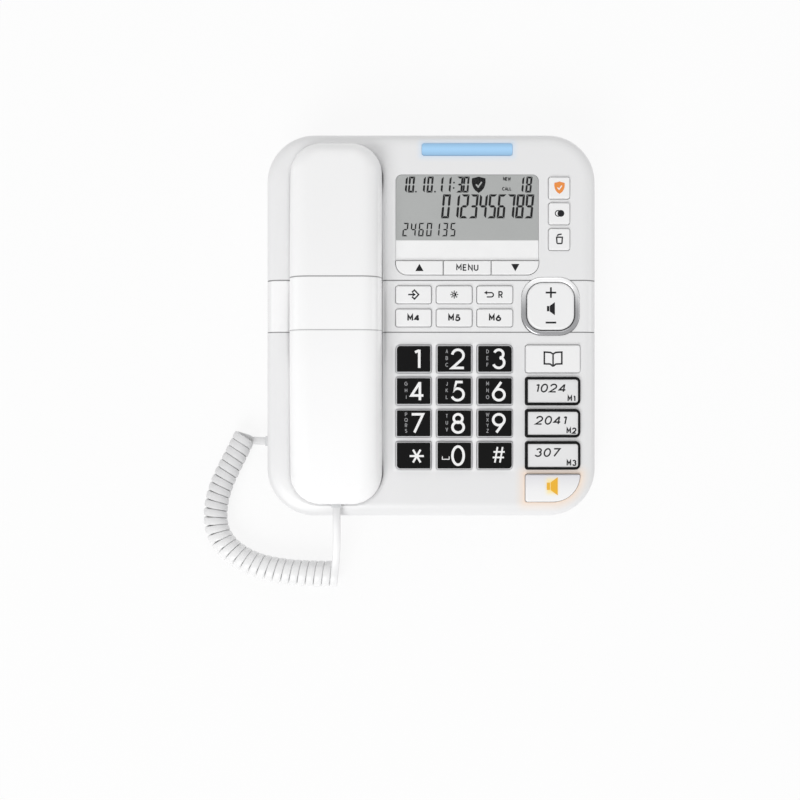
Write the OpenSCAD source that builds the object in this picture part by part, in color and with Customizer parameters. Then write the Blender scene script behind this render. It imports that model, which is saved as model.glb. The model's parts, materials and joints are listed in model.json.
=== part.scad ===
// Corded desk telephone: a wedge-shaped base with large keys and a display,
// and a handset that lies in a trough on the left, tied to the base by a curly cord.
// Millimetres. +X is to the right, +Y away from the user, +Z up, feet on z = 0.
// The face is tilted. Inside face() the axes are x, v (up the face) and w (out of the face),
// and w = 0 is the face itself.

/* [Base] */
// Tilt of the face towards the user, in degrees
face_tilt = 8; // [5:0.5:11]
// Height of the face above the table at its front edge
front_height = 24; // [23.5:0.5:32]
// Thickness of the base's shells
wall = 2.5; // [2.2:0.1:3]
// Radius of the base's corners, seen from above
corner_r = 27; // [23:1:32]
// Radius of the rounded edge around the face
edge_r = 8; // [6:0.5:9]
// Left edge of the base to the trough's rim
left_strip_w = 14.1; // [12:0.1:18]
// Trough's rim to the first column of keys
trough_to_keys = 7.3; // [6:0.1:12]
// Last column of keys to the right edge
right_margin = 9.6; // [8:0.1:20]
// Front edge to the lowest key
front_margin = 8.5; // [7:0.5:20]
// Rear edge to the light bar
rear_margin = 6; // [4:0.5:12]
// Width and depth of the two lines that cross the base
groove_w = 0.5; // [0.4:0.1:1]
// Keys to the line that crosses the base under them
groove_drop = 3.1; // [2:0.1:4.5]
// Height of the feet
foot_h = 2; // [1.5:0.25:4]
// Diameter of a foot
foot_d = 14; // [8:0.5:16]

/* [Number keys] */
// Width of a number key
number_key_w = 20; // [17:0.5:22]
// Height of a number key, up the face
number_key_h = 15.7; // [14:0.1:18]
// Gap between two columns of number keys
column_gap = 2.8; // [2.4:0.1:6]
// Gap between two rows of number keys
row_gap = 2.36; // [2.36:0.1:6]
// How far the number keys stand above the face
number_key_rise = 2.2; // [2:0.1:4]
// Corner radius of the keys
key_corner_r = 1.2; // [0.8:0.1:2.5]

/* [Function keys] */
// Height of a function key
function_key_h = 9.8; // [8:0.1:14]
// Gap between the two rows of function keys
function_row_gap = 3.2; // [2.4:0.1:6]
// Number keys to the function keys
function_to_numbers = 10.25; // [9.5:0.25:20]
// How far the small keys stand above the face
small_key_rise = 1.9; // [1.8:0.1:3]
// Height of a key under the display
soft_key_h = 8.1; // [6:0.1:12]
// Function keys to the keys under the display
soft_to_function = 6.2; // [5:0.1:14]
// Width of a side key
side_key_w = 11.8; // [9:0.1:14]
// Height of a side key
side_key_h = 12; // [9:0.1:13]
// Gap between two side keys
side_key_gap = 2.45; // [2.4:0.05:4]
// Right edge of the last column to the side keys
side_key_inset = 5.8; // [5:0.1:9]
// Side keys to the display
side_key_to_display = 5.6; // [3:0.1:8]

/* [Memory keys] */
// Width of a memory key
memory_key_w = 30.6; // [27:0.2:36]
// Number keys to the memory keys
memory_gap = 7.2; // [7:0.1:14]
// Height of the loudspeaker key in the corner
speaker_key_h = 15.4; // [12:0.2:18]
// Number keys' lower edge to the loudspeaker key
speaker_key_gap = 2.7; // [2.5:0.1:6]
// Radius of the loudspeaker key's outer corner
speaker_key_r = 15; // [4:0.5:15]

/* [Key fit] */
// Travel of a key
key_travel = 1.5; // [0.8:0.1:1.5]
// Gap around each key
key_gap = 0.35; // [0.25:0.05:0.5]
// How far a key's flange reaches under the cover
flange_reach = 0.8; // [0.6:0.05:0.9]
// Thickness of a key's flange
flange_t = 1.2; // [0.8:0.1:1.6]
// Thickness of the rubber sheet under the keys
membrane_t = 1.2; // [0.8:0.1:2]
// Thickness of the circuit board
board_t = 1.6; // [1:0.2:2.4]
// Size of the volume rocker
rocker_size = 26.4; // [20:0.2:28]
// Corner radius of the volume rocker
rocker_r = 8.5; // [6:0.5:10]
// Width of the ring around the volume rocker
rocker_ring_w = 2.8; // [2:0.1:4]
// Swing of the volume rocker to each side, in degrees
rocker_swing = 3; // [1:0.5:3]
// The rocker stands this much to the left of the memory keys' middle
rocker_shift = 1.2; // [0:0.1:2]

/* [Display] */
// Height of the display's dark area
display_h = 37.2; // [30:0.2:50]
// Height of the plain strip under the display
display_strip_h = 11.3; // [6:0.1:16]
// Thickness of the display's window
lens_t = 1.5; // [1:0.1:1.6]
// Thickness of the display panel
panel_t = 4.2; // [3:0.1:4.5]
// Display to the light bar
light_to_display = 10.55; // [8:0.25:20]
// Height of the light bar
light_h = 6.9; // [5:0.1:9]
// Width of the light bar
light_w = 50.8; // [30:0.2:60]

/* [Handset] */
// Width of the handset
handset_w = 50.7; // [46:0.1:58]
// Corner radius of the handset, seen from above
handset_corner_r = 17; // [14:0.5:22]
// How far the handset's crown stands above the face
handset_rise = 23; // [21:0.5:28]
// Radius of the handset's upper edge, all round
handset_edge_r = 11; // [8:0.5:12]
// Radius of the lengthwise arch of the handset's back
handset_arch_r = 700; // [500:10:1200]
// Thickness of the handset's shells
handset_wall = 2; // [1.6:0.1:2.4]
// Depth of the upper shell under the crown
handset_split = 15; // [13:0.5:16]
// How far the upper shell stands out over the lower one, all round
seam_step = 0.5; // [0.2:0.1:1]
// How high the grip's underside arches above the trough's floor
grip_rise = 15; // [12:0.5:16]
// Half the length of the arch under the grip
grip_half = 55; // [45:1:56]
// Gap between the handset and the base's front edge
handset_front_lip = 8.2; // [7:0.1:12]
// Gap between the handset and the base's rear edge
handset_rear_lip = 8.4; // [7:0.1:12]

/* [Trough] */
// Depth of the trough's floor under the face
trough_depth = 12.3; // [12:0.1:13]
// Gap between the handset and the foot of the trough's walls
trough_gap = 0.5; // [0.4:0.1:1]
// How far the trough's walls lean outwards, from floor to rim
trough_lean = 0.4; // [0.2:0.1:2]
// Radius of the trough's rounded rim
trough_rim_r = 3; // [1:0.5:4]
// Thickness of the trough's walls
trough_wall = 2.2; // [1.8:0.1:2.6]
// Clear height between the resting handset and what it lies on
rest_gap = 0.3; // [0.2:0.05:0.4]
// Travel of the hook switch's plunger
plunger_travel = 4; // [2:0.25:4]

/* [Cord] */
// Outer diameter of the curls at the base's end and at the handset's end
coil_start_d = 13; // [12:0.2:16]
coil_end_d = 15; // [12:0.2:16]
// Width of the cord's flat wire
wire_w = 2.7; // [2:0.1:3]
// Thickness of the cord's flat wire
wire_t = 2.4; // [1.6:0.1:2.6]
// Number of curls
curls = 29; // [20:1:32]

/* [Battery compartment] */
// Diameter of a cell
cell_d = 10.5; // [10:0.1:14.5]
// Length of a cell
cell_len = 44.5; // [40:0.1:50.5]
// Number of cells
cell_count = 4; // [2:1:4]

/* [Hidden] */
$fn = 96;
small = 0.01;
far = 400;

// ---- places on the face, worked out from the sizes above ----
handset_row_w = handset_w - 2*seam_step + 2*trough_gap + 2*trough_lean;
keys_left_of = left_strip_w + handset_row_w + trough_to_keys;
number_block_w = 3*number_key_w + 2*column_gap;
base_w = keys_left_of + number_block_w + memory_gap + memory_key_w + right_margin;
keys_x = -base_w/2 + keys_left_of;
handset_x = -base_w/2 + left_strip_w + handset_row_w/2;
column_pitch = number_key_w + column_gap;
row_pitch = number_key_h + row_gap;
memory_x = keys_x + number_block_w + memory_gap + memory_key_w/2;
rocker_x = memory_x - rocker_shift;

number_block_h = 4*number_key_h + 3*row_gap;
function_block_h = 2*function_key_h + function_row_gap;
base_len = front_margin + speaker_key_h + speaker_key_gap + number_block_h + function_to_numbers
    + function_block_h + soft_to_function + soft_key_h + display_strip_h + display_h
    + light_to_display + light_h + rear_margin;
speaker_key_v = -base_len/2 + front_margin + speaker_key_h/2;
numbers_v = -base_len/2 + front_margin + speaker_key_h + speaker_key_gap;
functions_v = numbers_v + number_block_h + function_to_numbers;
soft_v = functions_v + function_block_h + soft_to_function;
lens_v = soft_v + soft_key_h;
lens_h = display_strip_h + display_h;
light_v = lens_v + lens_h + light_to_display + light_h/2;

display_w = number_block_w + memory_gap + memory_key_w - side_key_inset - side_key_w
    - side_key_to_display;
display_x = keys_x + display_w/2;
light_x = display_x;
side_x = keys_x + number_block_w + memory_gap + memory_key_w - side_key_inset - side_key_w/2;
rocker_v = functions_v + function_block_h/2;
GROOVES = [soft_v - groove_drop, functions_v - groove_drop];

// ---- heights under the face ----
flange_top = wall + 0.25;
flange_bottom = flange_top + flange_t;
pad_top = flange_bottom + key_travel + 0.2;
sheet_top = pad_top + 0.6;
board_top = sheet_top + membrane_t;
board_bottom = board_top + board_t;
lens_ledge = 1.5;
lens_play = 0.1;
lens_r = 3.4;
light_r = 1.4;
light_play = 0.15;
number_key_inset = 0.7;
memory_key_inset = 1.4;
small_key_inset = 0.5;
key_skirt_rise = 0.9;
LENS_RADII = [0.4, 0.4, lens_r, lens_r];

// ---- the base's place in space ----
face_z = front_height + base_len/2*sin(face_tilt);
plate_z = foot_h + wall;
rim_z = plate_z + 1;
// The bottom of the rear wall and the front edge of the face bound the base along Y
rear_w = (foot_h - face_z - base_len/2*sin(face_tilt))/cos(face_tilt);
rear_y = base_len/2*cos(face_tilt) - rear_w*sin(face_tilt);
front_y = -(base_len/2 - edge_r)*cos(face_tilt) + edge_r*sin(face_tilt) - edge_r;
shift_y = -(rear_y + front_y)/2;

// ---- handset ----
handset_len = base_len - handset_front_lip - handset_rear_lip;
handset_v = (handset_front_lip - handset_rear_lip)/2;
handset_bottom = -(trough_depth - rest_gap);
arch_w = handset_rise - handset_arch_r;
grip_w = handset_bottom + grip_rise;
grip_r = (grip_half*grip_half + grip_rise*grip_rise)/(2*grip_rise);
handset_floor = handset_bottom + handset_wall;
end_v = handset_len/2;
receiver_v = end_v - 24;
microphone_v = -end_v + 22;
receiver_d = 34;
receiver_h = 5;
receiver_back_h = 4;
microphone_d = 9.7;
microphone_h = 4.5;
ring_t = 1.5;
weight_w = 34;
weight_h = 7;
weight_from = microphone_v + microphone_d/2 + ring_t + 1.15;
weight_to = -grip_half - 3.5;
handset_screw_v = 40;
handset_screw_len = 10;
handset_pilot_d = 2.2;
handset_head_d = 4.8;
handset_head_h = 1.6;
jack_w = 3.2;

// ---- modular sockets and plugs of the cord ----
socket_w = 7.9;
socket_h = 6.8;
socket_depth = 11.5;
jack_wall = 1.3;
jack_len = 13.5;
plug_play = 0.12;
tail_len = 5;
tail_w = 5.6;
tail_h = 4.6;
base_jack_v = -66;
base_jack_w = -(trough_depth + trough_wall + 0.9 + jack_wall + socket_h/2);

// ---- cord: the route of the coil's middle line on the table, chosen by hand ----
COIL_ROUTE = [
    [-108.2, -63.9], [-112.3, -72.8], [-116.4, -81.3], [-120.2, -89.9], [-122.9, -98.7],
    [-124, -107.7], [-123, -116.8], [-119, -125], [-112.4, -131.3], [-104.4, -136],
    [-95.5, -139.2], [-86.1, -141.1], [-76.6, -142.2], [-67.4, -142.7], [-58.7, -142.9],
    [-54.7, -142.9]];
RINGS_PER_CURL = 8;
WIRE_SIDES = 6;
ROUTE_STEPS = 6;

// ---- base fittings ----
hook_v = 72;
plunger_size = [12, 8];
plunger_play = 0.3;
plunger_len = 12;
POSTS = [[-15, functions_v - function_to_numbers/2], [40, functions_v - function_to_numbers/2],
    [memory_x - memory_key_w/2 - memory_gap/2, numbers_v + 3*row_pitch - row_gap/2],
    [memory_x - memory_key_w/2 - memory_gap/2, numbers_v + row_pitch - row_gap/2],
    [base_w/2 - 8.5, 60], [-14, light_v - 8], [70, light_v - 6], [0, speaker_key_v]];
post_d = 4.4;
// Screw bosses, at x and y from the base's middle
BOSSES = [[-base_w/2 + 9.5, -84], [-base_w/2 + 9.5, 62], [40, -92], [base_w/2 - 11.5, 86], [-8, 100]];
boss_d = 7;
pilot_d = 2.6;
screw_top = plate_z + 6.5;
head_d = 5.2;
head_h = 1.5;
FEET = [[-base_w/2 + 22, -86], [base_w/2 - 18, -84], [-base_w/2 + 13.5, 82], [base_w/2 - 13.5, 74]];
speaker_at = [34, 36];
speaker_d = 50;
grille_pitch = 5.4;
grille_hole_d = 2.2;
speaker_rim = 2.6;
speaker_cone_h = 8.5;
speaker_magnet_h = 7;
battery_x = -40;
bay_w = cell_count*(cell_d + 0.5) + 1;
bay_y = 54.6;
contact_t = 0.4;
bay_len = cell_len + 2*contact_t + 0.2;
bay_wall = 1.4;
cover_t = 1.7;
tongue = 1.4;
bay_top = foot_h + cover_t + 0.3 + cell_d + 0.4;
line_jack_x = 24;
line_mouth_w = 9.8;
power_jack_x = 48;
power_bore_d = 5.6;
power_pin_d = 2;
rear_jack_w = -41;
microphone_at = [12, -88];

// ---- the keys: name, x, v, width, height, corner radii, kind ----
// Corner radii run front left, front right, rear right, rear left
function even(r) = [r, r, r, r];
NUMBER_NAMES = ["key_star", "key_0", "key_hash", "key_7", "key_8", "key_9", "key_4", "key_5", "key_6",
    "key_1", "key_2", "key_3"];
outer_r = 2.6;
NUMBER_KEYS = [for (i = [0:11]) let (col = i%3, row = floor(i/3))
    [NUMBER_NAMES[i], keys_x + number_key_w/2 + col*column_pitch,
        numbers_v + number_key_h/2 + row*row_pitch, number_key_w, number_key_h,
        [i == 0 ? outer_r : key_corner_r, i == 2 ? outer_r : key_corner_r,
            i == 11 ? outer_r : key_corner_r, i == 9 ? outer_r : key_corner_r], "number"]];
FUNCTION_NAMES = ["key_m4", "key_m5", "key_m6", "key_redial", "key_brightness", "key_recall"];
FUNCTION_KEYS = [for (i = [0:5]) let (col = i%3, row = floor(i/3))
    [FUNCTION_NAMES[i], keys_x + number_key_w/2 + col*column_pitch,
        functions_v + function_key_h/2 + row*(function_key_h + function_row_gap),
        number_key_w, function_key_h, even(key_corner_r), "small"]];
SOFT_NAMES = ["softkey_up", "softkey_menu", "softkey_down"];
soft_corner_r = 6.5;
soft_w = (display_w - 2*key_gap)/3;
SOFT_KEYS = [for (i = [0:2])
    [SOFT_NAMES[i], display_x + (i - 1)*(soft_w + key_gap), soft_v + soft_key_h/2,
        soft_w, soft_key_h - key_gap,
        [i == 0 ? soft_corner_r : 0.3, i == 2 ? soft_corner_r : 0.3, 0.3, 0.3], "soft"]];
SIDE_NAMES = ["side_key_delete", "side_key_toggle", "side_key_block"];
side_key_drop = 1.8;
side_v = lens_v + lens_h - side_key_drop - side_key_h/2;
SIDE_KEYS = [for (i = [0:2])
    [SIDE_NAMES[i], side_x, side_v - (2 - i)*(side_key_h + side_key_gap), side_key_w, side_key_h,
        even(key_corner_r), "small"]];
MEMORY_NAMES = ["key_m3", "key_m2", "key_m1", "key_phonebook"];
MEMORY_KEYS = [for (i = [0:3])
    [MEMORY_NAMES[i], memory_x, numbers_v + number_key_h/2 + i*row_pitch,
        memory_key_w, number_key_h - 0.3,
        i == 3 ? even(key_corner_r) : [key_corner_r, outer_r, outer_r, key_corner_r],
        i == 3 ? "small" : "memory"]];
SPEAKER_KEYS = [["key_speakerphone", memory_x, speaker_key_v, memory_key_w, speaker_key_h,
    [key_corner_r, speaker_key_r, key_corner_r, key_corner_r], "corner"]];
KEYS = concat(NUMBER_KEYS, MEMORY_KEYS, SPEAKER_KEYS, FUNCTION_KEYS, SOFT_KEYS, SIDE_KEYS);

// ================= shared shapes =================

// Puts what follows in the tilted frame of the face
module face() {
    translate([0, shift_y, face_z]) rotate([face_tilt, 0, 0]) children();
}

module above(z) {
    translate([-far/2, -far/2, z]) cube(far);
}

module below(z) {
    translate([-far/2, -far/2, z - far]) cube(far);
}

// A centred rectangle whose four corners have their own radii
module outline(w, h, r) {
    polygon([[-w/2 + r[0], -h/2], [w/2 - r[1], -h/2], [w/2, -h/2 + r[1]], [w/2, h/2 - r[2]],
        [w/2 - r[2], h/2], [-w/2 + r[3], h/2], [-w/2, h/2 - r[3]], [-w/2, -h/2 + r[0]]]);
    round_corner(w, h, r[0], -1, -1);
    round_corner(w, h, r[1], 1, -1);
    round_corner(w, h, r[2], 1, 1);
    round_corner(w, h, r[3], -1, 1);
}

// A quarter disc in the corner on the side given by the signs
module round_corner(w, h, r, sx, sy) {
    translate([sx*(w/2 - r), sy*(h/2 - r)]) intersection() {
        circle(r);
        translate([sx > 0 ? 0 : -2*r, sy > 0 ? 0 : -2*r]) square(2*r);
    }
}

module prism(w, h, radii, low, high) {
    translate([0, 0, low]) linear_extrude(high - low) outline(w, h, radii);
}

// Sweeps a profile around a rounded rectangle and fills its middle from low to high.
// The profile's x starts at each corner's centre and reaches the outline at r.
module swept_block(w, h, r, low, high) {
    mid_w = w - 2*r;
    mid_h = h - 2*r;
    translate([-mid_w/2, -mid_h/2, low]) cube([mid_w, mid_h, high - low]);
    for (turn = [0, 1]) rotate(180*turn) {
        translate([mid_w/2, mid_h/2, 0]) rotate([90, 0, 0]) linear_extrude(mid_h) children();
        translate([-mid_w/2, mid_h/2, 0]) rotate([90, 0, 90]) linear_extrude(mid_w) children();
        translate([mid_w/2, mid_h/2, 0]) rotate_extrude(angle = 90) children();
        translate([-mid_w/2, mid_h/2, 0]) rotate(90) rotate_extrude(angle = 90) children();
    }
}

// ================= base =================

// The base's form reaches below the table before it is cut off level
base_low = rear_w - 12;

// The base's whole form, drawn in by inset on every side
module base_form(inset = 0) {
    r = corner_r - inset;
    edge = edge_r - inset;
    swept_block(base_w - 2*inset, base_len - 2*inset, r, base_low, -inset) {
        union() {
            translate([0, base_low]) square([r - edge, -inset - base_low]);
            translate([0, base_low]) square([r, -inset - edge - base_low]);
            translate([r - edge, -inset - edge]) circle(edge);
        }
    }
}

// The trough that the handset lies in, with its rounded rim, or with grow the outside of its
// walls. Bite makes the trough wider.
module trough_form(grow = 0, bite = 0) {
    room = trough_gap - seam_step + bite;
    r = handset_corner_r + room;
    low = -trough_depth - grow;
    high = grow > 0 ? -wall/2 : 6;
    lean = trough_lean;
    translate([handset_x, handset_v, 0])
        swept_block(handset_w + 2*room, handset_len + 2*room, r, low, high) difference() {
            union() {
                polygon([[0, low], [r + grow, low], [r + grow + lean*0.35, -trough_depth*0.5],
                    [r + grow + lean, min(0, high)], [r + grow + lean, high], [0, high]]);
                if (grow == 0) translate([r + lean - small, -trough_rim_r])
                    square([trough_rim_r - bite + small, trough_rim_r + high]);
            }
            if (grow == 0) translate([r + lean + trough_rim_r - bite, -trough_rim_r])
                circle(trough_rim_r - bite);
        }
}

module key_window(k) {
    gap = key_gap;
    translate([k[1], k[2], 0])
        prism(k[3] + 2*gap, k[4] + 2*gap, [for (r = k[5]) r + gap], -wall - 1, 4);
}

module soft_window() {
    translate([display_x, soft_v + soft_key_h/2, 0])
        prism(display_w + 2*key_gap, soft_key_h + key_gap,
            [soft_corner_r + key_gap, soft_corner_r + key_gap, 0.3, 0.3], -wall - 1, 4);
}

// The window rests on a ledge around the display's opening
module lens_recess(gap) {
    translate([display_x, lens_v + lens_h/2, 0])
        prism(display_w + 2*gap, lens_h - 0.4 + 2*gap, [for (r = LENS_RADII) r + gap], -lens_t, 4);
    translate([display_x, lens_v + lens_h/2, 0])
        prism(display_w - 2*lens_ledge, lens_h - 2*lens_ledge, even(2), -wall - 1, 0);
}

module ring_form(grow, low, high) {
    size = rocker_size + 2*key_gap + 2*grow;
    r = rocker_r + grow;
    translate([rocker_x, rocker_v, 0]) prism(size, size, even(r), low, high);
}

module light_bar_form(grow, low, high) {
    translate([light_x, light_v, 0])
        prism(light_w + 2*grow, light_h + 2*grow, even(light_r + grow), low, high);
}

// A line pressed into the face and the sides
// A line that crosses the base, down its sides and over the trough's rim
module groove(v) {
    depth = groove_w*0.6;
    difference() {
        translate([-far/2, v - groove_w/2, -far/2]) cube([far, groove_w, far]);
        base_form(depth);
    }
    intersection() {
        translate([-far/2, v - groove_w/2, -trough_rim_r]) cube([far, groove_w, far]);
        trough_form(0, depth);
    }
}

module bosses() {
    for (b = BOSSES) translate([b[0], b[1], plate_z]) cylinder(h = 80, d = boss_d);
}

module pilots() {
    for (b = BOSSES) translate([b[0], b[1], 0]) cylinder(h = screw_top, d = pilot_d);
}

module rear_socket_holes() {
    translate([line_jack_x, base_len/2, rear_jack_w])
        cube([line_mouth_w + 0.4, 12, socket_h + 0.4], center = true);
    translate([power_jack_x, base_len/2 + 6, rear_jack_w])
        rotate([90, 0, 0]) cylinder(h = 12, d = power_bore_d + 2.8);
}

module base_top_cover() color("white") difference() {
    intersection() {
        union() {
            difference() {
                face() base_form(0);
                face() base_form(wall);
            }
            intersection() {
                face() base_form(0.6);
                union() {
                    bosses();
                    face() cover_insides();
                }
            }
        }
        above(rim_z);
    }
    pilots();
    face() {
        trough_form(0);
        for (k = KEYS) if (k[6] != "soft") key_window(k);
        soft_window();
        lens_recess(lens_play);
        ring_form(rocker_ring_w + 0.05, -wall*0.6, 4);
        ring_form(1, -wall - 1, 4);
        light_bar_form(light_play, -edge_r, 4);
        for (v = GROOVES) groove(v);
        rear_socket_holes();
        hook_opening();
        base_jack_hole();
    }
}

// Everything that hangs under the face inside the top cover
module cover_insides() {
    trough_form(trough_wall);
    for (p = POSTS) translate([p[0], p[1], -board_top]) cylinder(h = board_top - wall/2, d = post_d);
    // pad that the handset cord's socket hangs from
    translate([-base_w/2 + wall/2, base_jack_v - 5, base_jack_w + socket_h/2 + jack_wall])
        cube([jack_len, 10, 3]);
    // sleeve and arms around the hook plunger
    translate([handset_x, hook_v, 0]) {
        prism(plunger_size[0] + 5, plunger_size[1] + 5, even(2),
            -trough_depth - trough_wall - 1.5, -trough_depth);
        for (s = [-1, 1])
            translate([s*(plunger_size[0]/2 + 5.4), 0, -trough_depth - trough_wall - 15.5/2])
                cube([2, 8, 15.5 + 1], center = true);
    }
}

module hook_opening() {
    translate([handset_x, hook_v, 0])
        prism(plunger_size[0] + 2*plunger_play, plunger_size[1] + 2*plunger_play, even(1),
            -trough_depth - trough_wall - 3, -trough_depth + 1);
}

module base_jack_hole() {
    translate([-base_w/2, base_jack_v, base_jack_w])
        cube([2*wall + 1, socket_w + 0.3, socket_h + 0.3], center = true);
}

module base_bottom_cover() color("whitesmoke") difference() {
    union() {
        difference() {
            intersection() {
                face() base_form(0);
                above(foot_h);
                below(rim_z);
            }
            intersection() {
                face() base_form(wall);
                above(plate_z);
            }
        }
        // battery bay
        translate([battery_x - bay_w/2 - bay_wall, bay_y - bay_wall, foot_h])
            cube([bay_w + 2*bay_wall, bay_len + 2*bay_wall, bay_top + bay_wall - foot_h]);
        // ring around the loudspeaker
        translate([speaker_at[0], speaker_at[1], plate_z - small]) difference() {
            cylinder(h = 3, d = speaker_d + 4);
            translate([0, 0, -1]) cylinder(h = 5, d = speaker_d + 0.4);
        }
        // saddles under the two rear sockets
        intersection() {
            face() for (x = [line_jack_x, power_jack_x])
                translate([x - 5, base_len/2 - wall - jack_len + 1,
                    rear_jack_w - socket_h/2 - jack_wall - 12]) cube([10, jack_len - 2, 12]);
            above(plate_z - 0.5);
            face() base_form(wall + 0.3);
        }
        // ring around the microphone
        translate([microphone_at[0], microphone_at[1], plate_z - small]) difference() {
            cylinder(h = 2, d = 9);
            translate([0, 0, -1]) cylinder(h = 4, d = 6.2);
        }
    }
    battery_bay_space();
    for (b = BOSSES) translate([b[0], b[1], 0]) {
        cylinder(h = far, d = pilot_d + 0.5);
        cylinder(h = foot_h + head_h, d = head_d + 0.4);
    }
    // loudspeaker grille
    for (i = [-3:3], j = [-3:3]) let (x = grille_pitch*(i + j/2), y = grille_pitch*j*sqrt(3)/2)
        if (norm([x, y]) < speaker_d*0.36)
            translate([speaker_at[0] + x, speaker_at[1] + y, 0]) cylinder(h = far, d = grille_hole_d);
    translate([microphone_at[0], microphone_at[1], 0]) cylinder(h = 10, d = 1.6);
}

// The space of the cells, the sliding cover and its side grooves
module battery_bay_space() {
    translate([battery_x - bay_w/2, bay_y, 0]) cube([bay_w, bay_len, bay_top]);
    translate([battery_x - bay_w/2 - 0.15, bay_y - 0.15, 0])
        cube([bay_w + 0.3, far, foot_h + cover_t + 0.15]);
    translate([battery_x - bay_w/2 - tongue - 0.15, bay_y - 0.15, foot_h + 0.85])
        cube([bay_w + 2*tongue + 0.3, far, cover_t - 0.85 + 0.15]);
}

module battery_cover() color("whitesmoke") difference() {
    intersection() {
        union() {
            translate([battery_x - bay_w/2, bay_y, foot_h]) cube([bay_w, 80, cover_t]);
            translate([battery_x - bay_w/2 - tongue, bay_y, foot_h + 1])
                cube([bay_w + 2*tongue, 80, cover_t - 1]);
        }
        face() base_form(0.1);
    }
    // thumb ribs
    for (i = [0:4])
        translate([battery_x - 9, bay_y + bay_len - 14 + 2*i, foot_h - 1]) cube([18, 0.9, 1.5]);
}

module batteries() color("dimgray") for (i = [0:cell_count - 1]) let (flip = i%2)
    translate([battery_x + (i - (cell_count - 1)/2)*(cell_d + 0.5), bay_y + bay_len/2,
        bay_top - 0.2 - cell_d/2]) rotate([90, 0, 180*flip]) {
        translate([0, 0, -cell_len/2]) cylinder(h = cell_len - 1.2, d = cell_d);
        translate([0, 0, cell_len/2 - 1.2 - small]) cylinder(h = 1.2 + small, d = cell_d*0.36);
    }

module battery_contacts() color("silver") for (end = [0, 1])
    translate([battery_x - bay_w/2 + 1, bay_y + end*(bay_len - contact_t), bay_top - 1 - cell_d*0.7])
        cube([bay_w - 2, contact_t, cell_d*0.7]);

module rubber_feet() color("dimgray")
    for (f = FEET) translate([f[0], f[1], 0]) cylinder(h = foot_h, d = foot_d);

module base_screws() color("silver") for (b = BOSSES)
    translate([b[0], b[1], foot_h + 0.1]) difference() {
        union() {
            cylinder(h = head_h - 0.1, d = head_d);
            cylinder(h = screw_top - foot_h - 0.6, d = pilot_d - 0.1);
        }
        for (a = [0, 90]) rotate(a) translate([-1.6, -0.35, -1]) cube([3.2, 0.7, 1.9]);
    }

module display_lens() color("gainsboro") face()
    translate([display_x, lens_v + lens_h/2, 0]) prism(display_w, lens_h - 0.4, LENS_RADII, -lens_t, 0);

module lcd_panel() color("darkgray") face()
    translate([display_x, lens_v + lens_h/2, 0])
        prism(display_w - 2*lens_ledge - 1, lens_h - 2*lens_ledge - 1, even(0.5),
            -board_top, -board_top + panel_t);

module alert_light_bar() color("lightskyblue") face() intersection() {
    light_bar_form(0, -board_top, 4);
    translate([0, 0, 0.3]) base_form(0);
}

module volume_ring() color("silver") face() difference() {
    ring_form(rocker_ring_w, -wall*0.6, 1);
    ring_form(0, -wall - 1, 4);
}

// One-piece rubber sheet with a pad under each key
module keypad_membrane() color("lightgray") face() difference() {
    union() {
        translate([0, 0, -board_top]) linear_extrude(membrane_t) {
            sheet_left = keys_x - 0.5;
            sheet_right = memory_x + memory_key_w/2 + 1;
            translate([sheet_left, numbers_v - 1]) square([number_block_w + 1.5, number_block_h + 2]);
            translate([memory_x - memory_key_w/2 - 1, speaker_key_v - speaker_key_h/2 + 4])
                square([memory_key_w - 4, functions_v - speaker_key_v]);
            translate([memory_x - memory_key_w/2 - 1, numbers_v - 1])
                square([memory_key_w + 2, functions_v - numbers_v]);
            translate([sheet_left, functions_v - function_to_numbers])
                square([sheet_right - sheet_left, function_to_numbers + function_block_h + 2]);
            translate([sheet_left, functions_v])
                square([display_w, soft_v + soft_key_h - 1.5 - functions_v]);
            translate([side_x - side_key_w/2, functions_v])
                square([side_key_w, side_v + side_key_h/2 - functions_v]);
        }
        for (k = KEYS) translate([k[1], k[2], 0])
            prism(min(k[3], k[4])*0.6, min(k[3], k[4])*0.6, even(1), -sheet_top - small, -pad_top);
        for (s = [-1, 1]) translate([rocker_x, rocker_v + s*rocker_size*0.33, 0])
            prism(6, 4, even(1), -sheet_top - small, -pad_top);
    }
    for (p = POSTS) translate([p[0], p[1], -board_bottom]) cylinder(h = 8, d = post_d + 0.8);
    translate([display_x, lens_v + lens_h/2, 0])
        prism(display_w - 2*lens_ledge, lens_h - 2*lens_ledge, even(0.8), -board_bottom, 0);
}

module main_circuit_board() color("seagreen") difference() {
    face() difference() {
        prism(base_w - 2*wall - 2, base_len - 2*wall - 1.4, even(corner_r - wall - 1),
            -board_bottom, -board_top);
        translate([-far, -far/2, -far/2]) cube([far + keys_x - 2.2, far, far]);
    }
    for (b = BOSSES) translate([b[0], b[1], 0]) cylinder(h = far, d = boss_d + 1);
}

module loudspeaker() color("dimgray")
    translate([speaker_at[0], speaker_at[1], plate_z]) difference() {
        union() {
            cylinder(h = speaker_rim, d = speaker_d);
            translate([0, 0, speaker_rim - small]) cone(speaker_d*0.46, speaker_d*0.25, speaker_cone_h);
            translate([0, 0, speaker_rim + speaker_cone_h - 2*small])
                cylinder(h = speaker_magnet_h, d = speaker_d*0.5);
        }
        translate([0, 0, -small]) cone(speaker_d*0.42, speaker_d*0.16, speaker_cone_h*0.7);
    }

module cone(low_r, high_r, h) {
    rotate_extrude() polygon([[0, 0], [low_r, 0], [high_r, h], [0, h]]);
}

module base_microphone() color("silver")
    translate([microphone_at[0], microphone_at[1], plate_z]) cylinder(h = 2.7, d = 6);

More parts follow.
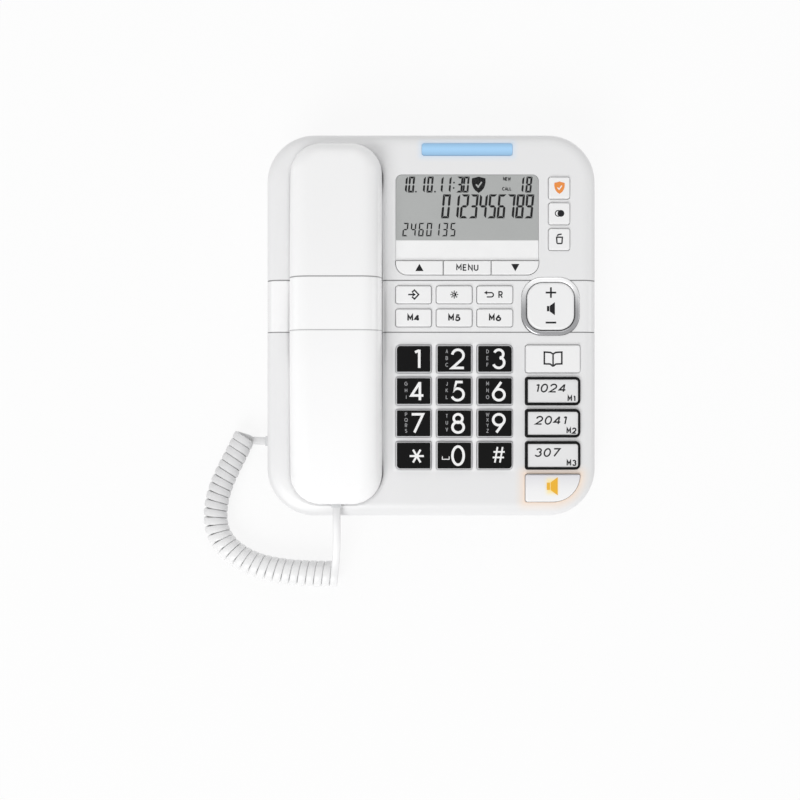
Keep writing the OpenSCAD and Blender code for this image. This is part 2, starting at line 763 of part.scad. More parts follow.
// T-shaped plunger: the handset holds it down, and it rises when the handset is lifted
module hook_plunger() color("white") face() translate([handset_x, hook_v, -trough_depth]) {
    prism(plunger_size[0], plunger_size[1], even(0.8), -plunger_len, 0);
    prism(plunger_size[0] + 3, plunger_size[1], even(0.8), -trough_wall - plunger_travel - 3.2,
        -trough_wall - plunger_travel - 1.7);
}

module hook_switch() color("dimgray") face()
    translate([handset_x, hook_v, -trough_depth - plunger_len - 0.3]) difference() {
        half = plunger_size[0]/2 + 4.2;
        union() {
            translate([-half, -3, -5.5]) cube([2*half, 6, 4.5]);
            translate([-4, -2, -1 - small]) cube([8, 4, 1 + small]);
        }
        for (s = [-1, 1]) translate([s*6, 4, -3.2]) rotate([90, 0, 0]) cylinder(h = 8, d = 2);
    }

// A modular socket: a block with a rectangular mouth, its mouth at the origin facing +Y
module socket_block(mouth_w, mouth_h) {
    difference() {
        translate([-mouth_w/2 - jack_wall, -jack_len, -mouth_h/2 - jack_wall])
            cube([mouth_w + 2*jack_wall, jack_len, mouth_h + 2*jack_wall]);
        translate([-mouth_w/2, -socket_depth, -mouth_h/2]) cube([mouth_w, socket_depth + 1, mouth_h]);
        translate([-1.6, -socket_depth + 3, -mouth_h/2 - 0.7]) cube([3.2, socket_depth, 1]);
    }
    // spring contacts on the mouth's roof
    for (i = [-1.5:1:1.5])
        translate([i*1.02 - 0.15, -socket_depth - small, mouth_h/2 - 0.5]) cube([0.3, 7, 0.55]);
}

// The plug that fits the socket, with its latch and cable tail: the tail ends at y = tail_len
module modular_plug() {
    w = socket_w - 2*plug_play;
    h = socket_h - 2*plug_play;
    difference() {
        union() {
            translate([-w/2, -socket_depth + 0.5, -h/2]) cube([w, socket_depth - 0.5 + 1.4, h]);
            translate([-1.4, -socket_depth + 4, -socket_h/2 - 0.45])
                cube([2.8, socket_depth - 4.5, 0.6]);
            translate([-tail_w/2, 1, -tail_h/2]) cube([tail_w, tail_len - 1, tail_h]);
        }
        for (i = [-1.5:1:1.5])
            translate([i*1.02 - 0.25, -socket_depth, h/2 - 0.7]) cube([0.5, 7.5, 1]);
    }
}

// Places at the mouths of the cord's two sockets
module at_base_jack() {
    face() translate([-base_w/2 + wall, base_jack_v, base_jack_w]) rotate([0, 0, 90]) children();
}

module at_handset_jack() {
    handset_frame() translate([0, -end_v + seam_step + handset_wall, jack_w])
        rotate([0, 0, 180]) children();
}

module base_handset_jack() color("dimgray") at_base_jack() socket_block(socket_w, socket_h);
module handset_jack() color("dimgray") at_handset_jack() socket_block(socket_w, socket_h);
module base_cord_plug() color("gainsboro") at_base_jack() modular_plug();
module handset_cord_plug() color("gainsboro") at_handset_jack() modular_plug();

module line_jack() color("dimgray") face() translate([line_jack_x, base_len/2 - wall - 0.1, rear_jack_w])
    socket_block(line_mouth_w, socket_h);

module power_jack() color("dimgray") face()
    translate([power_jack_x, base_len/2 - wall - 0.1, rear_jack_w]) {
        size = socket_h + 2*jack_wall;
        difference() {
            translate([-size/2, -jack_len, -size/2]) cube([size, jack_len, size]);
            translate([0, 1, 0]) rotate([90, 0, 0]) cylinder(h = 10.5, d = power_bore_d);
        }
        translate([0, -0.5, 0]) rotate([90, 0, 0]) cylinder(h = 10, d = power_pin_d);
    }

// ================= keys =================

module key(k) {
    rise = k[6] == "number" ? number_key_rise : small_key_rise;
    inset = k[6] == "number" ? number_key_inset
        : k[6] == "memory" ? memory_key_inset : small_key_inset;
    reach_x = k[6] == "soft" ? -0.1 : flange_reach;
    reach_v = k[6] == "soft" ? 0.9 : flange_reach;
    // the corner key's flange stops short of the base's rounded corner
    shift = k[6] == "corner" ? flange_reach/2 : 0;
    radii = k[5];
    tint = k[6] == "number" ? "dimgray" : k[6] == "memory" ? "gray" : "white";
    color(tint) face() translate([k[1], k[2], 0]) {
        prism(k[3], k[4], radii, -flange_top - small, key_skirt_rise);
        prism(k[3] - 2*inset, k[4] - 2*inset, [for (r = radii) max(0.4, r - inset)], 0, rise);
        translate([-shift, shift, 0])
            prism(k[3] + 2*reach_x - 2*shift, k[4] + 2*reach_v - 2*shift,
                [for (r = radii) max(0.4, r)], -flange_bottom, -flange_top);
    }
}

// Rocks about a pivot across its middle, so its flange sits lower than the keys' flanges
module volume_rocker() color("white") face() translate([rocker_x, rocker_v, 0]) {
    lift = rocker_size/2*sin(rocker_swing) + 0.3;
    difference() {
        union() {
            prism(rocker_size, rocker_size, even(rocker_r), -wall - lift, small_key_rise - 0.4);
            prism(rocker_size - 3, rocker_size - 3, even(rocker_r - 1.5), 0, small_key_rise);
            prism(rocker_size + 1.6, rocker_size - 6, even(3), -wall - lift - flange_t, -wall - lift);
        }
        // underside cut away towards both ends, so that the ends can dip
        translate([0, 0, -wall - lift - flange_t - small]) for (s = [-1, 1])
            translate([-far/2, s*(rocker_size/2 - 4) - 6, -1]) cube([far, 12, 1.4 + small]);
    }
}

// ================= handset =================

// The arch turns this far to each side before the straight caps begin
handset_turn = asin((end_v - handset_corner_r - 2)/(handset_arch_r - handset_split));
cap_len = (end_v - (handset_arch_r - handset_split)*sin(handset_turn))/cos(handset_turn);

// Across the handset, from a depth up to its back, with x = 0 at half from the outer side
module back_profile(half, edge, depth, full) {
    union() {
        translate([full ? -half : 0, -depth]) square([full ? 2*half : half, depth - edge]);
        translate([full ? -half + edge : 0, -depth])
            square([full ? 2*half - 2*edge : half - edge, depth]);
        for (s = full ? [-1, 1] : [1]) translate([s*(half - edge), -edge]) intersection() {
            circle(edge);
            translate([s > 0 ? 0 : -2*edge, 0]) square(2*edge);
        }
    }
}

// The handset's arched back, drawn in by inset, down to a depth under it: an arched middle with
// the same profile carried straight on at both ends and round the corners
module handset_back(inset, depth) {
    r = handset_arch_r - inset;
    half = handset_w/2 - inset;
    edge = handset_edge_r - inset;
    corner = handset_corner_r - inset;
    straight = cap_len - handset_corner_r;
    translate([0, 0, arch_w]) {
        rotate([0, -90, 0]) rotate(-handset_turn)
            rotate_extrude(angle = 2*handset_turn, $fn = 720)
                translate([r, 0]) rotate(-90) back_profile(half, edge, depth, true);
        for (s = [0, 180]) rotate(s) rotate([-handset_turn, 0, 0]) translate([0, 0, r]) {
            translate([0, straight, 0]) rotate([90, 0, 0]) linear_extrude(straight)
                back_profile(half, edge, depth, true);
            translate([-half + corner, straight, 0]) rotate([90, 0, 90])
                linear_extrude(2*(half - corner)) back_profile(corner, edge, depth, false);
            for (side = [0, 90]) translate([(side > 0 ? -1 : 1)*(half - corner), straight, 0])
                rotate(side) rotate_extrude(angle = 90) back_profile(corner, edge, depth, false);
        }
    }
}

module handset_frame() {
    face() translate([handset_x, handset_v, 0]) children();
}

// The lines that cross the base run on over the handset's back
module handset_groove(v) {
    depth = groove_w*0.6;
    difference() {
        translate([-far/2, v - handset_v - groove_w/2, handset_bottom]) cube([far, groove_w, far]);
        handset_back(depth, handset_split + 4);
    }
}

module socket_hole() {
    translate([0, -end_v, jack_w])
        cube([socket_w + 0.3, 3*handset_wall, socket_h + 0.3], center = true);
}

module handset_outer_shell() color("white") handset_frame() difference() {
    union() {
        difference() {
            handset_back(0, handset_split + 1);
            handset_back(handset_wall, handset_split + 1);
            split_cylinder(0);
        }
        // posts that the screws hold
        for (s = [-1, 1]) translate([0, s*handset_screw_v, grip_screw_floor()])
            cylinder(h = handset_rise - 2 - grip_screw_floor(), d = 6);
    }
    for (s = [-1, 1]) translate([0, s*handset_screw_v, -40])
        cylinder(h = 40 + grip_screw_floor() + 8, d = handset_pilot_d);
    for (v = GROOVES) handset_groove(v);
    socket_hole();
}

function grip_height(v) = grip_w - grip_r + sqrt(grip_r*grip_r - v*v);
// Height of the seat that the screw posts stand on
function grip_screw_floor() = grip_height(handset_screw_v) + 4.4;

module handset_inner_shell() color("white") handset_frame() difference() {
    union() {
        difference() {
            inner_form(0, 3);
            inner_form(handset_wall, 1.2);
        }
        intersection() {
            inner_form(0.3, 3);
            union() {
                for (s = [-1, 1]) translate([0, s*handset_screw_v, -20])
                    cylinder(h = 20 + grip_screw_floor(), d = 9);
                // saddle under the socket
                translate([-5, -end_v + seam_step + handset_wall + 0.5, -20])
                    cube([10, jack_len - 1, 20 + jack_w - socket_h/2 - jack_wall]);
                // rings around the receiver and the microphone
                ring_wall(receiver_v, receiver_d, handset_floor + 4);
                ring_wall(microphone_v, microphone_d, handset_floor + 3);
            }
        }
    }
    for (s = [-1, 1]) translate([0, s*handset_screw_v, 0]) {
        translate([0, 0, -40]) cylinder(h = 80, d = handset_pilot_d + 0.5);
        translate([0, 0, -40])
            cylinder(h = 40 + grip_screw_floor() - handset_head_h, d = handset_head_d + 0.6);
    }
    socket_hole();
    // sound holes over the receiver: one in the middle and two rings, in a shallow dish
    translate([0, receiver_v, handset_bottom - 1]) {
        cylinder(h = 1.6, d = receiver_d + 2);
        cylinder(h = 8, d = 1.8);
        for (ring = [1, 2], i = [0:6*ring - 1])
            rotate(i*60/ring) translate([5*ring, 0, 0]) cylinder(h = 8, d = 1.8);
    }
    for (i = [-1:1]) translate([3*i, microphone_v, handset_bottom - 1]) cylinder(h = 8, d = 1.5);
}

module ring_wall(v, d, top) {
    translate([0, v, handset_bottom + 0.5]) difference() {
        cylinder(h = top - handset_bottom - 0.5, d = d + 2*ring_t);
        translate([0, 0, -1]) cylinder(h = 30, d = d + 0.2);
    }
}

// Everything under the seam between the handset's two shells
module split_cylinder(drop) {
    translate([-50, 0, arch_w]) rotate([0, 90, 0])
        cylinder(h = 100, r = handset_arch_r - handset_split - drop, $fn = 720);
}

// The handset's lower half: flat under both ends, arched under the grip
module inner_form(inset, edge) {
    step = seam_step + inset;
    r = handset_corner_r - step;
    low = handset_bottom + inset;
    high = 30;
    intersection() {
        difference() {
            swept_block(handset_w - 2*step, handset_len - 2*step, r, low, high) union() {
                translate([0, low]) square([r - edge, high - low]);
                translate([0, low + edge]) square([r, high - low - edge]);
                translate([r - edge, low + edge]) circle(edge);
            }
            translate([-far/2, 0, grip_w - grip_r])
                rotate([0, 90, 0]) cylinder(h = far, r = grip_r + inset, $fn = 360);
        }
        split_cylinder(inset > 0 ? -3 : 0.05);
    }
}

module receiver_capsule() color("dimgray") handset_frame()
    translate([0, receiver_v, handset_floor]) {
        cylinder(h = receiver_h, d = receiver_d);
        translate([0, 0, receiver_h - small]) cylinder(h = receiver_back_h, d = receiver_d*0.6);
    }

module microphone_capsule() color("silver") handset_frame()
    translate([0, microphone_v, handset_floor]) cylinder(h = microphone_h, d = microphone_d);

module handset_weight() color("slategray") handset_frame()
    translate([-weight_w/2, weight_from, handset_floor])
        cube([weight_w, weight_to - weight_from, weight_h]);

module handset_screws() color("silver") handset_frame() for (s = [-1, 1])
    translate([0, s*handset_screw_v, grip_screw_floor()]) difference() {
        union() {
            translate([0, 0, -2*handset_head_h]) cylinder(h = handset_head_h, d = handset_head_d);
            translate([0, 0, -2*handset_head_h + 0.2])
                cylinder(h = handset_screw_len, d = handset_pilot_d - 0.1);
        }
        for (a = [0, 90]) rotate(a) translate([-1.4, -0.3, -4]) cube([2.8, 0.6, 1.6]);
    }

// ================= cord =================

function unit(p) = p/norm(p);
function turned(p) = [p[0], p[1]*cos(face_tilt) - p[2]*sin(face_tilt),
    p[1]*sin(face_tilt) + p[2]*cos(face_tilt)];
function from_face(p) = turned(p) + [0, shift_y, face_z];

// A smooth curve through the route's points
function spline(a, b, c, d, u) = 0.5*(2*b + (c - a)*u + (2*a - 5*b + 4*c - d)*u*u
    + (3*b - a - 3*c + d)*u*u*u);
last = len(COIL_ROUTE) - 1;
function route_point(i) = i < 0 ? 2*COIL_ROUTE[0] - COIL_ROUTE[1]
    : i > last ? 2*COIL_ROUTE[last] - COIL_ROUTE[last - 1] : COIL_ROUTE[i];
LINE = [for (i = [0:last - 1], j = [0:ROUTE_STEPS - 1])
    spline(route_point(i - 1), route_point(i), route_point(i + 1), route_point(i + 2), j/ROUTE_STEPS),
    COIL_ROUTE[last]];
function sums(list, i = 0, total = 0) = i >= len(list) ? []
    : concat([total + list[i]], sums(list, i + 1, total + list[i]));
RUN = concat([0], sums([for (i = [1:len(LINE) - 1]) norm(LINE[i] - LINE[i - 1])]));
line_len = RUN[len(RUN) - 1];
function line_at(s, i = 1) = i >= len(RUN) - 1 || RUN[i] >= s
    ? LINE[i - 1] + (LINE[i] - LINE[i - 1])*(s - RUN[i - 1])/(RUN[i] - RUN[i - 1]) : line_at(s, i + 1);
function line_way(s) = unit(line_at(min(line_len, s + 2)) - line_at(max(0, s - 2)));

// The helix: it starts at the underside of the coil and ends at its top
turns = curls + 0.5;
helix_steps = round(turns*RINGS_PER_CURL);
function coil_d(i) = coil_start_d + (coil_end_d - coil_start_d)*i/helix_steps;
function helix_angle(i) = -90 - 360*turns*i/helix_steps;
function helix_centre(i) = let (p = line_at(line_len*i/helix_steps)) [p[0], p[1], coil_d(i)/2 + 0.1];
function helix_out(i) = let (t = line_way(line_len*i/helix_steps), a = helix_angle(i))
    [-t[1]*cos(a), t[0]*cos(a), sin(a)];
function helix_point(i) = helix_centre(i) + (coil_d(i) - wire_t)/2*helix_out(i);
HELIX = [for (i = [0:helix_steps]) helix_point(i)];
HELIX_OUT = [for (i = [0:helix_steps]) helix_out(i)];

// The two short leads, from each plug's tail to the helix
function lead(a, b, c, d, n) = [for (i = [0:n]) let (u = i/n)
    a*pow(1 - u, 3) + 3*b*u*pow(1 - u, 2) + 3*c*u*u*(1 - u) + d*pow(u, 3)];
base_exit = from_face([-base_w/2 + wall - tail_len, base_jack_v, base_jack_w]);
handset_exit = from_face([handset_x, handset_v - end_v + seam_step + handset_wall - tail_len,
    jack_w]);
handset_way = turned([0, -1, 0]);
first_way = unit(HELIX[1] - HELIX[0]);
last_way = unit(HELIX[helix_steps] - HELIX[helix_steps - 1]);
BASE_LEAD = lead(base_exit + [-wire_w, 0, 0], base_exit + [-9, 0, 0], HELIX[0] - 5*first_way,
    HELIX[0], 7);
HANDSET_LEAD = lead(HELIX[helix_steps], HELIX[helix_steps] + 15*last_way, handset_exit + 16*handset_way,
    handset_exit + wire_w*handset_way, 8);
PATH = concat([base_exit], [for (i = [0:6]) BASE_LEAD[i]], HELIX,
    [for (i = [1:8]) HANDSET_LEAD[i]], [handset_exit]);
OUT = concat([for (i = [0:7]) [0, 0, -1]], HELIX_OUT, [for (i = [0:8]) [0, 0, 1]]);
path_last = len(PATH) - 1;
function path_way(i) = i == 0 ? [-1, 0, 0] : i == path_last ? -handset_way
    : unit(PATH[i + 1] - PATH[i - 1]);
// One ring of the wire: wire_t across the coil's radius and wire_w along the coil
function ring(i) =
    let (way = path_way(i), out = unit(OUT[i] - (OUT[i]*way)*way), side = cross(way, out))
    [for (k = [0:WIRE_SIDES - 1]) let (a = 360*(k + 0.5)/WIRE_SIDES)
        PATH[i] + side*cos(a)*wire_w/2/cos(180/WIRE_SIDES)*0.97 + out*sin(a)*wire_t/2];
cord_len = sums([for (i = [1:path_last]) norm(PATH[i] - PATH[i - 1])])[path_last - 1];
// Least gap between one curl and the next
function curl_gap(i) = min([for (j = [i + RINGS_PER_CURL - 2:i + RINGS_PER_CURL + 2])
    j <= helix_steps ? norm(HELIX[i] - HELIX[j]) : far]) - wire_w;
least_gap = min([for (i = [0:helix_steps]) curl_gap(i)]);
echo(cord_length = cord_len, coil_length = line_len, least_gap = least_gap);  // handset_cord

module handset_cord() color("white") {
    points = [for (i = [0:path_last]) each ring(i)];
    n = WIRE_SIDES;
    sides = [for (i = [0:path_last - 1], k = [0:n - 1]) let (a = i*n + k, b = i*n + (k + 1)%n)
        each [[a, a + n, b + n], [a, b + n, b]]];
    end = path_last*n;
    caps = [for (k = [1:n - 2]) each [[0, k, k + 1], [end, end + k + 1, end + k]]];
    polyhedron(points, concat(sides, caps));
}

// ================= assembly =================

base_top_cover();
base_bottom_cover();
display_lens();
lcd_panel();
alert_light_bar();
volume_ring();
keypad_membrane();
main_circuit_board();
loudspeaker();
base_microphone();
hook_plunger();
hook_switch();
line_jack();
power_jack();
base_handset_jack();
rubber_feet();
base_screws();
battery_cover();
batteries();
battery_contacts();
handset_outer_shell();
handset_inner_shell();
receiver_capsule();
microphone_capsule();
handset_weight();
handset_jack();
handset_screws();
handset_cord();
base_cord_plug();
handset_cord_plug();
volume_rocker();
for (k = KEYS) key(k);
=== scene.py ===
# %% [markdown]
# # Dressing a corded desk telephone
# The telephone is a white wedge with large keys, a display, and a handset that lies in a trough
# and is tied to the base by a curly cord. Its construction comes ready made, as one fixed frame
# of solids in metres. This lesson gives it its looks: the cord, the key caps with their printed
# legends, the display, and a finish for every surface.
#
# The solids could all be modelled again by hand, but they already fit each other and move on
# their joints, so only the pieces whose surface needs more than the solid has are built anew.

# %% The frame and the tools
import json
import math

import bmesh
import bpy
from mathutils import Matrix, Vector


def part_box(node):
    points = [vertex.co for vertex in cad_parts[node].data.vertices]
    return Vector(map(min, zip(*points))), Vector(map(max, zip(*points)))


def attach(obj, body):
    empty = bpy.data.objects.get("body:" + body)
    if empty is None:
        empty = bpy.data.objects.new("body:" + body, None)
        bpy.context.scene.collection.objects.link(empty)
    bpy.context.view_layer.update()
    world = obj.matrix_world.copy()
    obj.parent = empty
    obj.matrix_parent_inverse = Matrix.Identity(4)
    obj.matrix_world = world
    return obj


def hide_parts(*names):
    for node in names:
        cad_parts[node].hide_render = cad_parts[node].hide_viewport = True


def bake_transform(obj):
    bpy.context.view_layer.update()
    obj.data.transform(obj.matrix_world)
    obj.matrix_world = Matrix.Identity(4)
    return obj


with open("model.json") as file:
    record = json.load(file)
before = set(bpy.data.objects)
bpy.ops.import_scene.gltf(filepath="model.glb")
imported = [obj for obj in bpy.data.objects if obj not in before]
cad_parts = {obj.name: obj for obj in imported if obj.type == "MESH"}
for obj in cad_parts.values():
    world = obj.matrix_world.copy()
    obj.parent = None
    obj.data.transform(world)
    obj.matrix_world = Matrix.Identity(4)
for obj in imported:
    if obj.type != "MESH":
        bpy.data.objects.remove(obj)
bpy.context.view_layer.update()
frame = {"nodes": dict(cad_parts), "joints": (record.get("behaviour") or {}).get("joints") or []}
NODES = frame["nodes"]
MM = 0.001

# %% [markdown]
# The face of the base is tilted towards the user, and all that shows lies along it. Placing things
# in the room's axes would put a sine and a cosine in every line. So the face gets its own axes:
# x to the right, v up the face and w out of it, in millimetres from the face's middle. The tilt is
# read from the direction in which a key is pressed, and the level from the display's window, which
# lies flush with the face.

# %% The axes of the face
BASE_COVER = NODES["base_top_cover"].data.vertices
pressed = next(j for j in frame["joints"] if j["name"] == "press_5")
OUT = -Vector(pressed["axis"]).normalized()
ACROSS = Vector((1, 0, 0))
UP_FACE = OUT.cross(ACROSS)
level = max(OUT.dot(v.co) for v in NODES["display_lens"].data.vertices)
along = [UP_FACE.dot(v.co) for v in BASE_COVER]
origin = OUT * level + UP_FACE * (min(along) + max(along)) / 2
turn = Matrix((ACROSS, UP_FACE, OUT)).transposed().to_4x4()
FACE = Matrix.Translation(origin) @ turn @ Matrix.Scale(MM, 4)
TILT = math.acos(OUT.z)
print("tilt", round(math.degrees(TILT), 2), "face middle", [round(c, 4) for c in origin])


def in_face(node, above=-1000.0):
    """Lowest and highest corner of a node in the face's axes, from its points over a height."""
    back = FACE.inverted()
    points = [back @ v.co for v in NODES[node].data.vertices]
    columns = list(zip(*[p for p in points if p.z > above]))
    return Vector([min(c) for c in columns]), Vector([max(c) for c in columns])


CAP_START = 0.3


def cap_box(name):
    """Lowest and highest corner of the part of a key that stands above the face."""
    return in_face(name, above=CAP_START)


# %% [markdown]
# The camera looks straight down at the tilted face, from a little to the left of its middle and
# towards the user, so that the loop of cord comes into the picture. A lens of 50 mm keeps the far
# edges of the thick handset from spreading too much.

# %% Camera
EYE = (-17.65, -42.3, 624.0)
camera_data = bpy.data.cameras.new("camera")
camera_data.lens = 50
camera_data.sensor_width = 36
camera = bpy.data.objects.new("camera", camera_data)
camera.location = FACE @ Vector(EYE)
camera.rotation_euler = (TILT, 0, 0)
bpy.context.scene.collection.objects.link(camera)
bpy.context.scene.camera = camera
print("camera at", [round(c, 3) for c in camera.location])

# %% [markdown]
# Most pieces here are blocks with a rounded outline, so two helpers do nearly all the modelling.
# `rounded` gives the points of a rectangle whose corners have their own radii, and `loft` joins
# several such outlines, one above the other, into a closed skin. Bevel modifiers would do as well,
# but a loft gives full control of the edge, and its faces stay clean quads.

# %% Outlines and lofts
CORNER_STEPS = 6
WIDE_CORNER, WIDE_CORNER_STEPS = 4, 10
SMALLEST_R, FLAT_RIM = 0.05, 0.08
FRONT_LEFT, FRONT_RIGHT, REAR_RIGHT, REAR_LEFT = range(4)


def corner_radii(usual, wide=0.0, where=()):
    """Radii of the four corners, of which some may be wider than the others."""
    return [wide if i in where else usual for i in range(4)]


def rounded(low, high, radii, inset=0.0, steps=CORNER_STEPS):
    """Points of a rounded rectangle, from the front left corner and anticlockwise.

    Where two corners of one side don't fit under each other, the wider one gives way.
    """
    x0, y0, x1, y1 = low[0] + inset, low[1] + inset, high[0] - inset, high[1] - inset
    corners = [(x0, y0, 1, 1, 180), (x1, y0, -1, 1, 270), (x1, y1, -1, -1, 0), (x0, y1, 1, -1, 90)]
    points = []
    radii = [max(radius - inset, SMALLEST_R) for radius in radii]
    for (x, y, sx, sy, start), r, neighbour in zip(corners, radii, radii[::-1]):
        for i in range(steps + 1):
            a = math.radians(start + 90 * i / steps)
            up = y + sy * r + r * math.sin(a)
            up = min(up, y1 - neighbour) if sy > 0 else max(up, y0 + neighbour)
            points.append((x + sx * r + r * math.cos(a), up))
    return points


def loft(bm, rings, material=0, closed=True):
    """Skins a stack of equally long rings of points and closes both ends."""
    rows = [[bm.verts.new(p) for p in ring] for ring in rings]
    count = len(rows[0])
    for low, high in zip(rows, rows[1:]):
        for i in range(count):
            j = (i + 1) % count
            bm.faces.new((low[i], low[j], high[j], high[i])).material_index = material
    if closed:
        bm.faces.new(rows[0][::-1]).material_index = material
        bm.faces.new(rows[-1]).material_index = material


def block(bm, low, high, radii, levels, material=0):
    """A block with a rounded outline. A level is an inset and a height."""
    steps = WIDE_CORNER_STEPS if max(radii) > WIDE_CORNER else CORNER_STEPS
    rings = []
    for inset, w in levels:
        rings.append([(x, y, w) for x, y in rounded(low, high, radii, inset, steps)])
    loft(bm, rings, material)


def edge(top, radius, inset=0.0, steps=4):
    """Levels of a rounded upper edge, with a narrow flat rim inside it."""
    levels = []
    for i in range(steps + 1):
        a = math.radians(90 * i / steps)
        levels.append((inset + radius * (1 - math.cos(a)), top - radius * (1 - math.sin(a))))
    levels.append((inset + radius + FLAT_RIM, top))
    return levels


# %% [markdown]
# A piece that is modelled in the face's axes still has to lie in the room, in metres. `piece` moves
# its points there and lets it ride on its body, so that a key's cap and its legend go down
# together. Edges sharper than 35 degrees stay crisp, and the rest is shaded smooth.

# %% Making a piece
SHARP = math.radians(35)


def piece(name, bm, body, finishes, replaced=(), place=FACE, riding=True):
    """Turns what was modelled into a piece with its finishes, on its body."""
    bmesh.ops.recalc_face_normals(bm, faces=bm.faces)
    mesh = bpy.data.meshes.new(name)
    bm.to_mesh(mesh)
    bm.free()
    mesh.transform(place)
    for polygon in mesh.polygons:
        polygon.use_smooth = True
    mesh.set_sharp_from_angle(angle=SHARP)
    for finish in finishes:
        mesh.materials.append(finish)
    made = bpy.data.objects.new(name, mesh)
    bpy.context.scene.collection.objects.link(made)
    if riding:
        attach(made, body)
    if replaced:
        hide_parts(*replaced)
    return made


# %% [markdown]
# ## Finishes
# A material is a small formula: noise for the grain, a distance for a glow, a mask for a band.
# Built by hand, each formula is a tangle of Math nodes. The two classes below let it be written as
# Python arithmetic instead: `Wire` is a socket that can be added and multiplied, and `Finish` holds
# a material and makes every other node by one method.

# %% Arithmetic on sockets
def operator(operation, swapped=False):
    """A method that adds one Math node. Swapped is for a number to the left of the sign."""

    def method(self, other=0.0):
        first, second = (other, self) if swapped else (self, other)
        return self.finish.node("ShaderNodeMath", {"operation": operation}, {0: first, 1: second})

    return method


class Wire:
    """An output socket that takes part in arithmetic."""

    def __init__(self, finish, socket):
        self.finish = finish
        self.socket = socket

    __add__ = __radd__ = operator("ADD")
    __sub__ = operator("SUBTRACT")
    __rsub__ = operator("SUBTRACT", swapped=True)
    __mul__ = __rmul__ = operator("MULTIPLY")
    __truediv__ = operator("DIVIDE")
    __pow__ = operator("POWER")
    __abs__ = operator("ABSOLUTE")
    at_least = operator("MAXIMUM")
    at_most = operator("MINIMUM")

    def rise(self, start, end):
        """0 below start and 1 above end, with a smooth step between them."""
        return self.finish.node(
            "ShaderNodeMapRange",
            {"interpolation_type": "SMOOTHSTEP"},
            {"Value": self, "From Min": start, "From Max": end},
        )


# %% One material
class Finish:
    """A material with one principled shader, written as formulas."""

    def __init__(self, name, colour, roughness, **constants):
        self.material = bpy.data.materials.new(name)
        self.material.use_nodes = True
        self.tree = self.material.node_tree
        self.tree.nodes.clear()
        self.shader = self.tree.nodes.new("ShaderNodeBsdfPrincipled")
        output = self.tree.nodes.new("ShaderNodeOutputMaterial")
        self.tree.links.new(self.shader.outputs[0], output.inputs["Surface"])
        self.set("Base Color", colour)
        self.set("Roughness", roughness)
        for words, value in constants.items():
            self.set(words.replace("_", " "), value)

    def feed(self, socket, value):
        """Gives a socket a link, a colour or a number."""
        if isinstance(value, Wire):
            self.tree.links.new(value.socket, socket)
        elif socket.type == "RGBA" and len(value) == 3:
            socket.default_value = (*value, 1.0)
        else:
            socket.default_value = value

    def set(self, words, value):
        """Gives one of the shader's own sockets what it holds."""
        self.feed(self.shader.inputs[words], value)

    def node(self, kind, settings=None, inputs=None, output=0):
        """Adds a node: its settings first, then what goes into it. Hands back one output."""
        made = self.tree.nodes.new(kind)
        for key, value in (settings or {}).items():
            setattr(made, key, value)
        for key, value in (inputs or {}).items():
            self.feed(made.inputs[key], value)
        return Wire(self, made.outputs[output])

    def place(self):
        """Where a point is on the piece, in metres."""
        return self.node("ShaderNodeTexCoord", output="Object")

    def noise(self, size_mm, detail=2.0, stretch=None):
        """Soft noise with features of about that size, around 0.5."""
        where = self.place()
        if stretch:
            factors = {0: where, 1: stretch}
            where = self.node("ShaderNodeVectorMath", {"operation": "MULTIPLY"}, factors)
        inputs = {"Vector": where, "Scale": 1 / (size_mm * MM), "Detail": detail}
        return self.node("ShaderNodeTexNoise", {}, inputs)

    def mix(self, share, first, second):
        """Two colours mixed, by a share of the second."""
        return self.node("ShaderNodeMix", {"data_type": "RGBA"}, {0: share, 6: first, 7: second}, 2)

    def bump(self, height, depth_mm, strength):
        """Relief in the surface, as deep as depth where height runs from 0 to 1."""
        inputs = {"Height": height, "Distance": depth_mm * MM, "Strength": strength}
        self.set("Normal", self.node("ShaderNodeBump", {}, inputs))

    def on_face(self):
        """x, v and w of a point in the face's axes, in millimetres."""
        split = self.node("ShaderNodeSeparateXYZ", {}, {0: self.place()})
        x, y, z = (Wire(self, split.socket.node.outputs[i]) for i in range(3))
        x = (x - origin.x) * (1 / MM)
        y = (y - origin.y) * (1 / MM)
        z = (z - origin.z) * (1 / MM)
        return x, y * UP_FACE.y + z * UP_FACE.z, y * OUT.y + z * OUT.z


# %% [markdown]
# ### White plastic
# The housing is moulded from glossy white plastic. A plain white shader looks like paper, because
# a real moulding has a faint orange peel in its gloss and its shine changes a little from place to
# place. Both are put in as noise. The band between the two lines that cross the telephone is
# polished, and the rest is satin. The band is also painted whiter, a painted sheen, and the two
# lines are painted dark grey, a painted shade in their grooves.

# %% Masks for the white plastic
GROOVE_W, GROOVE_BLUR = 0.5, 0.08
BAND_BLUR = 0.3


def band_masks(v, band):
    """The share of the polished band between the two lines, and the share of painted shade in the
    lines.
    """
    inside = v.rise(band[0], band[0] + BAND_BLUR) * (1 - v.rise(band[1] - BAND_BLUR, band[1]))
    off_line = abs(v - band[0]).at_most(abs(v - band[1]))
    return inside, 1 - off_line.rise(GROOVE_W / 2, GROOVE_W / 2 + GROOVE_BLUR)


# %% [markdown]
# The glow of the light bar and of the hands-free key, where their light leaks into the plastic, is
# painted into its colour, which follows the distance to them. The same mask, with a wide reach and
# a plain white, paints light on the fronts that face the window and between the number keys, and a
# highlight on the left strip's band. In the narrow gap beside the handset light goes to and fro
# between two white walls far more often than a renderer follows it, so both walls get a little light
# of their own there.

# %% Masks for light on the plastic
HALO_FLOOR, HALO_TOP = -3.0, -1.0
GAP_FRONT, GAP_REAR = (-88, -70), (70, 84)
GAP_BLUR_LEFT, GAP_BLUR_RIGHT, GAP_BLUR_TOP = 0.8, 1.2, 1.6


